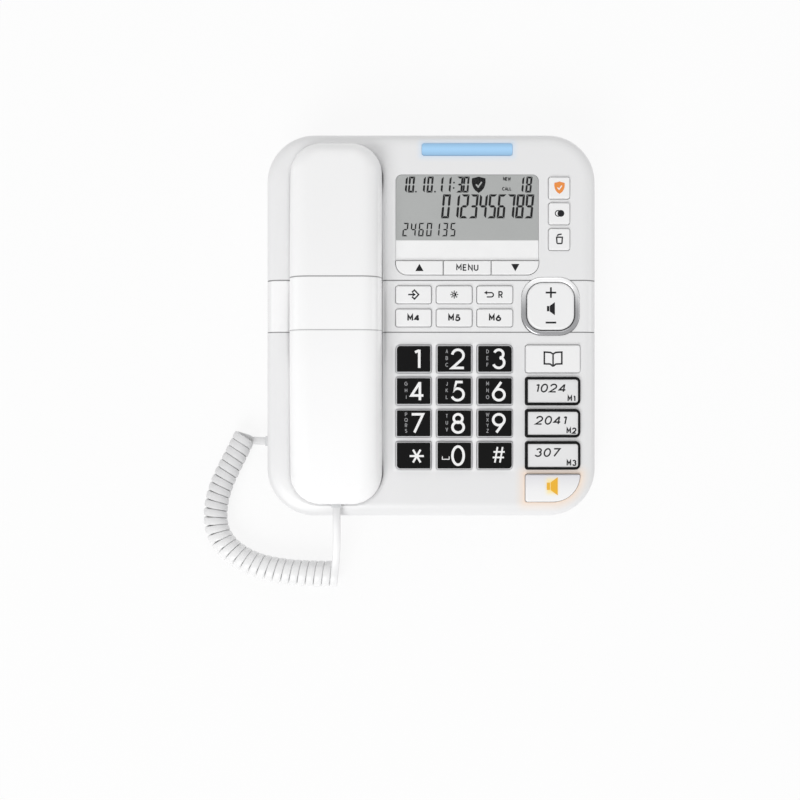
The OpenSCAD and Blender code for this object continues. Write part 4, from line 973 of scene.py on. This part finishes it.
for name, (figure, letters) in NUMBER_KEYS.items():
    low, high = cap_box(name)
    middle = (low + high) / 2
    radii = corner_radii(CORNER, OUTER_CORNER, [ROUND_OUTSIDE.get(name)])
    bm = bmesh.new()
    key_base(bm, name, low, high, radii)
    block(bm, low, high, radii, [(RIM_W, CAP_ROOT)] + edge(high.z, BLACK_EDGE, RIM_W), 1)
    piece(f"{name}_cap", bm, name, [SILVER_RIM, BLACK_CAP], [name])
    bm = bmesh.new()
    pen = SIGN_PENS.get(figure, FIGURE_PEN)
    lift = SIGN_LIFT if figure in SIGN_PENS else 0.0
    write(bm, figure, (middle.x + FIGURE_SHIFT, middle.y + lift), FIGURE_H, pen, high.z)
    piece(f"{name}_figure", bm, name, [INK_WHITE])
    if letters == "_":
        space_sign(name, middle, high.z)
    elif letters:
        letter_column(name, letters, middle, high.z)
print("number keys", len(NUMBER_KEYS))

# %% [markdown]
# ## White keys and their signs
# The function keys, the keys beside the display and the phone book key are plain white blocks, and
# each carries a sign. The signs are drawn in millimetres around the key's middle, with the
# same ribbons and plates as the figures. Each new line or plate is printed a trace higher than the
# one before, so that two that cross don't fight for the same place.

# %% Signs
class Sign:
    """Ink on a key: lines and filled shapes in millimetres around a middle."""

    def __init__(self, middle, top):
        self.bm = bmesh.new()
        self.middle = middle
        self.floor = top - INK_ROOT
        self.layers = 0

    def ceiling(self):
        """The top of the next layer of ink."""
        self.layers += 1
        return self.floor + INK + self.layers * INK_STEP

    def shift(self, points):
        """Points round the sign's own middle, as points on the face."""
        return [(self.middle[0] + x, self.middle[1] + y) for x, y in points]

    def line(self, points, pen, material=0):
        ribbon(self.bm, self.shift(points), pen, self.floor, self.ceiling(), material)

    def fill(self, points, material=0):
        plate(self.bm, self.shift(points), self.floor, self.ceiling(), material)

    def word(self, letters, at, height, pen, **words):
        centre = self.shift([at])[0]
        write(self.bm, letters, centre, height, pen, self.floor + INK_ROOT, **words)


def circle(x, y, r):
    """A closed ring of points."""
    return arc(x, y, r, r, 0, 360, 24)


SHIELD_SLIM = 0.92
TICK = [(-0.42, 0.02), (-0.08, -0.38), (0.5, 0.42)]


def shield(size):
    """A shield's outline: a peaked top and sides that close to a point."""
    right = [(0, 1), (0.35, 0.9), (0.72, 0.82), (0.92, 0.78), (0.94, 0.3), (0.86, -0.1), (0.7, -0.45),
             (0.45, -0.75), (0, -1.05)]
    left = [(-x, y) for x, y in reversed(right[1:-1])]
    return [(x * size * SHIELD_SLIM, y * size) for x, y in right + left]


# %% Signs of the white keys
def sign_redial(s):
    """An arrow that enters a corner."""
    s.line([(-0.9, 1.25), (0.5, 2.5), (2.85, 0), (0.5, -2.5), (-0.9, -1.25)], 0.8)
    s.line([(-3.0, 0), (-0.2, 0)], 0.8)
    s.fill([(-0.6, 1.25), (1.3, 0), (-0.6, -1.25)])


def sign_brightness(s):
    """A sun, with its right half filled."""
    s.line(circle(0, 0, 0.9), 0.6)
    s.fill(arc(0, 0, 0.9, 0.9, -90, 90, 12))
    for i in range(8):
        a = math.tau * i / 8
        s.line([(1.4 * math.cos(a), 1.4 * math.sin(a)), (2.2 * math.cos(a), 2.2 * math.sin(a))], 0.6)


def sign_recall(s):
    """An arrow that turns back, and an R."""
    s.line([(-4.7, 1.05), (-2.1, 1.05)] + arc(-2.1, -0.15, 1.2, 1.2, 90, -90) + [(-4.6, -1.35)], 0.7)
    s.fill([(-4.4, 2.15), (-4.4, -0.05), (-6.2, 1.05)])
    s.word("R", (3.1, -0.1), 4.1, 0.7)


def sign_block(s):
    """A shield with a tick."""
    s.fill(shield(3.4))
    s.line([(2.7 * x, 2.7 * y) for x, y in TICK], 0.6, 1)


def sign_toggle(s):
    """Two discs, one over the other."""
    s.line(circle(-0.75, 0, 1.6), 0.55)
    s.fill(circle(0.8, 0, 1.9))


def sign_delete(s):
    """A bin with its lid ajar."""
    s.line([(-1.6, 1.1), (-1.45, -1.75)] + arc(-0.85, -1.9, 0.55, 0.55, 190, 260, 4)
           + arc(0.85, -1.9, 0.55, 0.55, 280, 350, 4) + [(1.6, 1.1), (-1.6, 1.1)], 0.75)
    s.line([(-1.3, 1.7), (-0.75, 2.5), (1.2, 2.85)], 0.75)


def sign_book(s):
    """An open book."""
    half = [(0, 2.7), (-1.5, 3.6), (-4.9, 3.8), (-4.9, -2.8), (-1.6, -2.9), (0, -4.2)]
    s.line(half, 0.9)
    s.line([(-x, y) for x, y in half], 0.9)
    s.line([(0, 2.9), (0, -4.3)], 0.85)


def sign_speaker(s, size=1.0, at=(0, 0)):
    """A loudspeaker from the side: its magnet and its horn."""
    magnet = [(-2.55, 1.6), (-1.1, 1.6), (-1.1, -1.6), (-2.55, -1.6)]
    horn = [(-0.85, 1.7), (2.3, 4.0), (2.3, -4.0), (-0.85, -1.7)]
    for part in (magnet, horn):
        s.fill([(at[0] + x * size, at[1] + y * size) for x, y in part])


def word_sign(letters):
    """A sign that only writes a word."""
    return lambda s: s.word(letters, (0, 0), 3.9, 0.9, gap=0.42, stretch=1.16)


# %% White keys
WHITE_INSET, WHITE_EDGE = 0.12, 0.7


def white_key(name, radii, inset, roundness, finish=KEY_WHITE):
    """The cap of a white key. Hands back an empty sign for its top."""
    low, high = cap_box(name)
    bm = bmesh.new()
    key_base(bm, name, low, high, radii)
    block(bm, low, high, radii, [(inset, CAP_ROOT)] + edge(high.z, roundness, inset, steps=6))
    piece(f"{name}_cap", bm, name, [finish], [name])
    return Sign((low + high) / 2, high.z)


WHITE_KEYS = {
    "key_redial": sign_redial, "key_brightness": sign_brightness, "key_recall": sign_recall,
    "key_m4": word_sign("M4"), "key_m5": word_sign("M5"), "key_m6": word_sign("M6"),
    "side_key_block": sign_block, "side_key_toggle": sign_toggle, "side_key_delete": sign_delete,
    "key_phonebook": sign_book}
for name, draw in WHITE_KEYS.items():
    sign = white_key(name, corner_radii(CORNER), WHITE_INSET, WHITE_EDGE)
    draw(sign)
    ink = ORANGE if draw is sign_block else INK_DARK
    piece(f"{name}_sign", sign.bm, name, [ink, INK_WHITE])
print("white keys", len(WHITE_KEYS))

# %% [markdown]
# The three keys under the display form one strip with two rounded outer corners. They are cut as
# three blocks, and the thin gaps between them draw the dark lines of the strip.

# %% Keys under the display
SOFT_CORNER, SOFT_INNER_CORNER = 6.5, 0.3
SOFT_INSET, SOFT_EDGE = 0.1, 0.6
ARROW = [(-2.3, -2.0), (0, 2.1), (2.3, -2.0)]
SOFT_KEYS = {"softkey_up": FRONT_LEFT, "softkey_menu": None, "softkey_down": FRONT_RIGHT}
for name, outer in SOFT_KEYS.items():
    radii = corner_radii(SOFT_INNER_CORNER, SOFT_CORNER, [outer])
    sign = white_key(name, radii, SOFT_INSET, SOFT_EDGE)
    if name == "softkey_menu":
        sign.word("MENU", (0, 0), 3.7, 0.66, gap=0.36, stretch=1.14)
    elif name == "softkey_up":
        sign.fill(ARROW)
    else:
        sign.fill([(x, -y) for x, y in reversed(ARROW)])
    piece(f"{name}_sign", sign.bm, name, [INK_DARK])
print("keys under the display", len(SOFT_KEYS))

# %% [markdown]
# ## Memory keys
# A memory key is a black frame round a label window. The owner writes a name on the paper under
# it. Here the labels hold plain numbers in pencil, with the key's own tag printed at the corner.

# %% Memory keys
FRAME_W, FRAME_INSET, FRAME_EDGE = 1.25, 0.08, 0.3
FRAME_INNER_EDGE, FRAME_INNER_STEP = 0.25, 0.07
PAPER_TOP, PAPER_PLAY = 1.35, 0.02
PENCIL_MARKS = {"key_m1": "1024", "key_m2": "2041", "key_m3": "307"}
MARK_START, MARK_UP, MARK_SIZE, MARK_PEN = 4.4, 1.7, 5.0, 0.82
MARK_GAP, MARK_SLANT, MARK_STRETCH = 0.34, 0.2, 1.25
TAG_H, TAG_PEN, TAG_GAP = 3.5, 0.74, 0.46
TAG_FROM_RIGHT, TAG_FROM_FRONT = 4.9, 3.6
for name, number in PENCIL_MARKS.items():
    low, high = cap_box(name)
    middle = (low + high) / 2
    radii = corner_radii(CORNER, OUTER_CORNER, [FRONT_RIGHT, REAR_RIGHT])
    bm = bmesh.new()
    key_base(bm, name, low, high, radii)
    levels = [(FRAME_INSET, CAP_ROOT)] + edge(high.z, FRAME_EDGE, FRAME_INSET)[:-1]
    levels += [
        (FRAME_W - FRAME_INNER_EDGE, high.z),
        (FRAME_W - FRAME_INNER_STEP, high.z - FRAME_INNER_STEP),
        (FRAME_W, high.z - FRAME_INNER_EDGE), (FRAME_W, SKIRT_TOP)]
    loft(bm, [[(x, y, w) for x, y in rounded(low, high, radii, i)] for i, w in levels])
    piece(f"{name}_frame", bm, name, [BLACK_FRAME], [name])
    bm = bmesh.new()
    inside = FRAME_W + PAPER_PLAY
    block(bm, low, high, radii, [(inside, SKIRT_TOP), (inside, PAPER_TOP)])
    piece(f"{name}_label", bm, name, [PAPER])
    sign = Sign(middle, PAPER_TOP)
    corner = (high.x - middle.x - TAG_FROM_RIGHT, low.y - middle.y + TAG_FROM_FRONT)
    tag = name[-2:].upper()
    sign.word(tag, corner, TAG_H, TAG_PEN, gap=TAG_GAP)
    long = word_width(number, MARK_GAP)[0] * MARK_STRETCH * MARK_SIZE
    start = low.x - middle.x + MARK_START
    sign.word(number, (start + long / 2, MARK_UP), MARK_SIZE, MARK_PEN, gap=MARK_GAP,
              slant=MARK_SLANT, stretch=MARK_STRETCH, material=1)
    piece(f"{name}_marks", sign.bm, name, [INK_DARK, PENCIL])
print("memory keys", len(PENCIL_MARKS))

# %% [markdown]
# ## Hands-free key and volume rocker
# The hands-free key fills the corner of the base, so one of its corners follows the base's own.
# The rocker is a cushion with wide rounded edges in a plated ring. The ring is swept: a half round
# profile is carried round the rocker's outline, so its crown reflects the room in one long streak.

# %% Hands-free key
LAMP_SIZE, LAMP_AT = 1.28, (-0.3, 1.1)
name = "key_speakerphone"
low, high = SPEAKER_KEY
lamp = (low + high) / 2 + Vector((*LAMP_AT, 0))
lit = lamp - Vector((2.2, 3.2, 0)), lamp + Vector((1.8, 3.2, 0))
painted_shade_side = Vector((low.x, high.y, 0)), high
# painted shade over the cap's rear side, and a painted amber glow round the sign from the lamp behind
# it
LIT_CAP = shell_finish("white_lit_cap", PAINTED_LIT_WHITE, painted_light_and_shade=(
    (*painted_shade_side, 15.0, 0.6, (0.60, 0.59, 0.64), 0), (*lit, 3.2, 0.8, (1.0, 0.80, 0.30), 0)))
radii = corner_radii(CORNER, KEY_CORNER_R, [FRONT_RIGHT])
sign = white_key(name, radii, SOFT_INSET, WHITE_EDGE, LIT_CAP)
sign_speaker(sign, LAMP_SIZE, LAMP_AT)
piece(f"{name}_sign", sign.bm, name, [AMBER])
print("hands-free key", [round(c, 1) for c in high - low])

# %% Volume rocker
ROCKER_R, ROCKER_FOOT, ROCKER_EDGE = 8.5, -3.2, 1.4
PLUS_V, MINUS_V, PLUS_REACH, PLUS_PEN = 7.6, -9.2, 2.95, 1.0
ROCKER = cap_box("volume_rocker")
low, high = ROCKER
bm = bmesh.new()
block(bm, low, high, [ROCKER_R] * 4, [(0, ROCKER_FOOT)] + edge(high.z, ROCKER_EDGE, steps=8))
piece("volume_rocker_cap", bm, "volume_rocker", [KEY_WHITE], ["volume_rocker"])
sign = Sign((low + high) / 2, high.z)
sign.line([(-PLUS_REACH, PLUS_V), (PLUS_REACH, PLUS_V)], PLUS_PEN)
sign.line([(0, PLUS_V - PLUS_REACH), (0, PLUS_V + PLUS_REACH)], PLUS_PEN)
sign.line([(-PLUS_REACH, MINUS_V), (PLUS_REACH, MINUS_V)], PLUS_PEN)
sign_speaker(sign, 0.92, (0.1, -1.4))
piece("volume_rocker_signs", sign.bm, "volume_rocker", [INK_DARK])
print("rocker", [round(c, 1) for c in high - low])

# %% Plated ring
RING_GAP, RING_CORNER_STEPS = 0.35, 12
CROWN_STEPS, CROWN_FULLNESS = 10, 0.8
low, high = RING
ring_w = ROCKER[0].x - low.x - RING_GAP
profile = [(0.0, low.z), (0.0, 0.0)]
for i in range(1, CROWN_STEPS):
    a = math.radians(180 * i / CROWN_STEPS)
    profile.append((ring_w * (1 - math.cos(a)) / 2, high.z * math.sin(a) ** CROWN_FULLNESS))
profile += [(ring_w, 0.0), (ring_w, low.z), (0.0, low.z)]
radii = [ROCKER_R + RING_GAP + ring_w] * 4
bm = bmesh.new()
rings = []
for inset, w in profile:
    rings.append([(x, y, w) for x, y in rounded(low, high, radii, inset, RING_CORNER_STEPS)])
loft(bm, rings, closed=False)
bmesh.ops.remove_doubles(bm, verts=bm.verts, dist=0.0001)
piece("volume_ring_plating", bm, "base", [PLATED], ["volume_ring"])
print("ring's width", round(ring_w, 2))

# %% [markdown]
# ## Display
# On top lies a clear window, flush with the face. Its underside is printed with a white strip along
# the lower edge, and the liquid crystal sheet is glued to the rest of it, without an air gap that
# would show as a haze. The sheet could be one picture on a plane. It is built as real layers: the
# grey sheet first, and on it each bar of each figure as its own thin plate, so the figures stay
# sharp from any distance.

# %% Window, print and crystal
LENS_FRONT_CORNER, LENS_REAR_CORNER, LENS_EDGE = 0.4, 3.4, 0.18
PRINT_CORNER, PRINT_INSET, PRINT_OVERLAP = 0.3, 0.05, 0.05
STRIP_H = 11.3
low, high = in_face("display_lens")
SHEET_LOW, SHEET_HIGH = high.z - 0.34, high.z - 0.28
STRIP_LOW, STRIP_HIGH = high.z - 0.3, high.z - 0.2
strip_top = low.y + STRIP_H
rear = [REAR_LEFT, REAR_RIGHT]
bm = bmesh.new()
radii = corner_radii(LENS_FRONT_CORNER, LENS_REAR_CORNER, rear)
block(bm, low, high, radii, [(0, low.z)] + edge(high.z, LENS_EDGE))
piece("display_window", bm, "base", [WINDOW], ["display_lens"])
bm = bmesh.new()
strip_levels = [(PRINT_INSET, STRIP_LOW), (PRINT_INSET, STRIP_HIGH)]
block(bm, low, Vector((high.x, strip_top, 0)), [PRINT_CORNER] * 4, strip_levels)
piece("display_strip", bm, "base", [PRINT_WHITE])
bm = bmesh.new()
radii = corner_radii(PRINT_CORNER, LENS_REAR_CORNER, rear)
sheet_levels = [(PRINT_INSET, SHEET_LOW), (PRINT_INSET, SHEET_HIGH)]
block(bm, Vector((low.x, strip_top - PRINT_OVERLAP, 0)), high, radii, sheet_levels)
piece("display_crystal", bm, "base", [CRYSTAL])
print("display", [round(c, 1) for c in high - low])

# %% [markdown]
# Each figure of the display has seven bars. A bar is a long, flat shape with slanted ends, and the
# figures lean a little to the right.

# %% Bars of the figures
BARS = {
    "0": "abcdef", "1": "bc", "2": "abged", "3": "abgcd", "4": "fgbc", "5": "afgcd", "6": "afgedc",
    "7": "abc", "8": "abcdefg", "9": "abcdfg"}
LEAN, BAR_GAP, BAR_THICK = 0.09, 0.1, 0.02
BAR_FLOOR = SHEET_HIGH + 0.005


def seven_bars(bm, figure, x, y, width, height, thick):
    """A figure of seven bars with its lower left corner at x and y."""
    gap, r, mid = BAR_GAP, thick / 2, height / 2
    flat = [(gap, height), (width - gap, height), (width - gap - thick, height - thick),
            (gap + thick, height - thick)]
    post = [(0, height - gap), (thick, height - gap - thick), (thick, mid + gap + r), (r, mid + gap),
            (0, mid + gap + r)]
    bars = {"a": flat, "f": post, "g": [
        (r + gap, mid), (thick + gap, mid + r), (width - thick - gap, mid + r), (width - r - gap, mid),
        (width - thick - gap, mid - r), (thick + gap, mid - r)]}
    bars["d"] = [(u, height - v) for u, v in flat]
    bars["e"] = [(u, height - v) for u, v in post]
    bars["b"] = [(width - u, v) for u, v in post]
    bars["c"] = [(width - u, height - v) for u, v in post]
    for letter in BARS[figure]:
        outline = [(x + u + LEAN * v, y + v) for u, v in bars[letter]]
        plate(bm, outline, BAR_FLOOR, BAR_FLOOR + BAR_THICK)


# %% [markdown]
# The rows are set from the screen's upper left corner. Each has its own distance from the top and
# its own figures, given as their width, their height and how thick their bars are. The upper row
# is a date, a time and a count, the middle one a number that is dialled, the lower one a note.

# %% Rows of figures
left, screen_top = low.x, high.y
SMALL_H, LARGE_H, NOTE_H = 9.0, 13.5, 7.6
SMALL, LARGE, NOTE = (3.4, SMALL_H, 1.12), (4.5, LARGE_H, 1.3), (3.0, NOTE_H, 0.78)
SMALL_TOP, LARGE_TOP, NOTE_TOP = 1.0, 11.0, 27.0
LARGE_START, LARGE_PITCH = 25.4, 5.2
NOTE_START, NOTE_PITCH = 3.6, 4.45
SMALL_ROW = [
    ("1", 2.7), ("0", 6.75), ("1", 12.8), ("0", 17.2), ("1", 22.8), ("1", 27.3), ("3", 33.9),
    ("0", 37.4), ("1", 68.2), ("8", 72.7)]
LARGE_ROW, NOTE_ROW = "0123456789", "2460135"
DOT, DOT_CORNER = 0.9, 0.3
DOTS = [(10.9, 0.5), (21.6, 0.5), (32.1, 2.6), (32.3, 5.6)]
bm = bmesh.new()
small_y = screen_top - SMALL_TOP - SMALL_H
for figure, x in SMALL_ROW:
    seven_bars(bm, figure, left + x, small_y, *SMALL)
for i, figure in enumerate(LARGE_ROW):
    x = left + LARGE_START + LARGE_PITCH * i
    seven_bars(bm, figure, x, screen_top - LARGE_TOP - LARGE_H, *LARGE)
for i, figure in enumerate(NOTE_ROW):
    x = left + NOTE_START + NOTE_PITCH * i
    seven_bars(bm, figure, x, screen_top - NOTE_TOP - NOTE_H, *NOTE)
for x, y in DOTS:
    corner, far = (left + x, small_y + y - DOT / 2), (left + x + DOT, small_y + y + DOT / 2)
    plate(bm, rounded(corner, far, [DOT_CORNER] * 4), BAR_FLOOR, BAR_FLOOR + BAR_THICK)
piece("display_bars", bm, "base", [BAR_BLACK])
print("figures", len(SMALL_ROW) + len(LARGE_ROW) + len(NOTE_ROW))

# %% Badge and small words
BADGE_X = 46.6
badge = Sign((left + BADGE_X, small_y + SMALL_H / 2), BAR_FLOOR)
badge.fill(shield(4.5))
badge.line([(3.5 * x, 3.5 * y) for x, y in TICK], 0.8, 1)
badge.word("NEW", (15.9, 3.2), 2.0, 0.42)
badge.word("CALL", (15.8, -2.4), 2.0, 0.42)
piece("display_badge", badge.bm, "base", [BAR_BLACK, CRYSTAL])

# %% [markdown]
# ## The carried-over solids
# The shells, sockets, screws and inner parts keep the shape that they have in the frame, and each
# gets the finish of what it is made of. The light bar at the rear gets a small bevel too, because a
# light guide is polished at its edges, and so do the few others whose edges would look cut.

# %% Finishes of the solids
FINISH_OF = {
    "base_top_cover": HOUSING, "handset_outer_shell": HANDSET, "handset_inner_shell": HANDSET,
    "base_bottom_cover": LOWER_SHELL, "battery_cover": LOWER_SHELL, "alert_light_bar": LIGHT_GUIDE,
    "lcd_panel": CRYSTAL, "keypad_membrane": SILICONE, "main_circuit_board": BOARD,
    "loudspeaker": DARK_NYLON, "base_microphone": NICKEL, "hook_plunger": KEY_WHITE,
    "hook_switch": DARK_NYLON, "line_jack": DARK_NYLON, "power_jack": DARK_NYLON,
    "base_handset_jack": DARK_NYLON, "handset_jack": DARK_NYLON, "rubber_feet": RUBBER,
    "base_screws": STEEL, "handset_screws": STEEL, "batteries": CELL, "battery_contacts": NICKEL,
    "receiver_capsule": DARK_NYLON, "microphone_capsule": NICKEL, "handset_weight": CAST,
    "base_cord_plug": CLEAR_PLUG, "handset_cord_plug": CLEAR_PLUG}
BEVELS = {"alert_light_bar": 0.3, "hook_plunger": 0.3, "battery_cover": 0.2, "rubber_feet": 0.4}
BEVEL_FROM = math.radians(50)
for name, finish in FINISH_OF.items():
    solid = NODES[name]
    solid.data.materials.clear()
    solid.data.materials.append(finish)
    if name in BEVELS:
        bevel = solid.modifiers.new("soft_edges", "BEVEL")
        bevel.width = BEVELS[name] * MM
        bevel.segments = 3
        bevel.limit_method = "ANGLE"
        bevel.angle_limit = BEVEL_FROM
print("solids finished", len(FINISH_OF))

# %% [markdown]
# ## Room and light
# The telephone stands on a pale floor in soft light. One large lamp to the left and in front gives
# the shading a direction, weak ones at the sides and the rear lift the edges there, and the sky
# fills the shadows. The camera sees the floor as white with only a faint shadow, and so do the rays
# that a glossy surface sends back or a clear one lets through. All other light meets the floor's
# true colour, so a floor that is seen as white doesn't bleach the telephone.

# %% Floor
SEES_BACKGROUND = ("Camera", "Glossy", "Transmission")
SHADOW_FADE = 0.86
FLOOR = 1.6
floor_mesh = bmesh.new()
corners = [(-FLOOR, -FLOOR), (FLOOR, -FLOOR), (FLOOR, FLOOR), (-FLOOR, FLOOR)]
floor_mesh.faces.new([floor_mesh.verts.new((x, y, 0)) for x, y in corners])
floor_data = bpy.data.meshes.new("floor")
floor_mesh.to_mesh(floor_data)
floor_mesh.free()
floor = bpy.data.objects.new("floor", floor_data)
bpy.context.scene.collection.objects.link(floor)

paint = Finish("floor_paint", (0.9, 0.9, 0.9), 0.7)
tree = paint.tree
glow = tree.nodes.new("ShaderNodeEmission")
glow.inputs["Color"].default_value = (1, 1, 1, 1)
direct, mirrored, through = (
    paint.node("ShaderNodeLightPath", output=f"Is {kind} Ray") for kind in SEES_BACKGROUND)
seen = direct.at_least(mirrored).at_least(through)
blend = tree.nodes.new("ShaderNodeMixShader")
paint.feed(blend.inputs[0], seen * SHADOW_FADE)
tree.links.new(paint.shader.outputs[0], blend.inputs[1])
tree.links.new(glow.outputs[0], blend.inputs[2])
output = next(n for n in tree.nodes if n.type == "OUTPUT_MATERIAL")
tree.links.new(blend.outputs[0], output.inputs["Surface"])
floor_data.materials.append(paint.material)
print("floor", 2 * FLOOR, "m wide")

# %% Sky
SKY_LIGHT, SKY_SEEN = 0.57, 1.0
world = bpy.data.worlds.new("room")
bpy.context.scene.world = world
world.use_nodes = True
sky = world.node_tree.nodes
links = world.node_tree.links
sky.clear()
rays = sky.new("ShaderNodeLightPath")
shows = rays.outputs[f"Is {SEES_BACKGROUND[0]} Ray"]
for kind in SEES_BACKGROUND[1:]:
    larger = sky.new("ShaderNodeMath")
    larger.operation = "MAXIMUM"
    links.new(shows, larger.inputs[0])
    links.new(rays.outputs[f"Is {kind} Ray"], larger.inputs[1])
    shows = larger.outputs[0]
either = sky.new("ShaderNodeMixShader")
links.new(shows, either.inputs[0])
for slot, strength in enumerate((SKY_LIGHT, SKY_SEEN), start=1):
    part = sky.new("ShaderNodeBackground")
    part.inputs["Color"].default_value = (1, 1, 1, 1)
    part.inputs["Strength"].default_value = strength
    links.new(part.outputs[0], either.inputs[slot])
end = sky.new("ShaderNodeOutputWorld")
links.new(either.outputs[0], end.inputs["Surface"])

# %% Lamps
AIM = Vector((0, 0, 0.03))


def lamp(name, place, size, power):
    """A round lamp that looks at the telephone, with its diameter in metres and power in watts."""
    data = bpy.data.lights.new(name, "AREA")
    data.shape = "DISK"
    data.size = size
    data.energy = power
    made = bpy.data.objects.new(name, data)
    made.location = place
    made.rotation_euler = (AIM - Vector(place)).to_track_quat("-Z", "Y").to_euler()
    bpy.context.scene.collection.objects.link(made)


lamp("window_light", (-0.92, -2.27, 2.09), 1.9, 47.5)
lamp("left_panel", (-2.2, 0.0, 0.4), 1.0, 2.0)
lamp("right_panel", (2.2, 0.0, 0.6), 1.0, 3.3)
lamp("rear_panel", (0.0, 1.6, 1.5), 1.4, 5.8)
bpy.context.scene.view_settings.view_transform = "Standard"
print("lamps", len(bpy.data.lights))
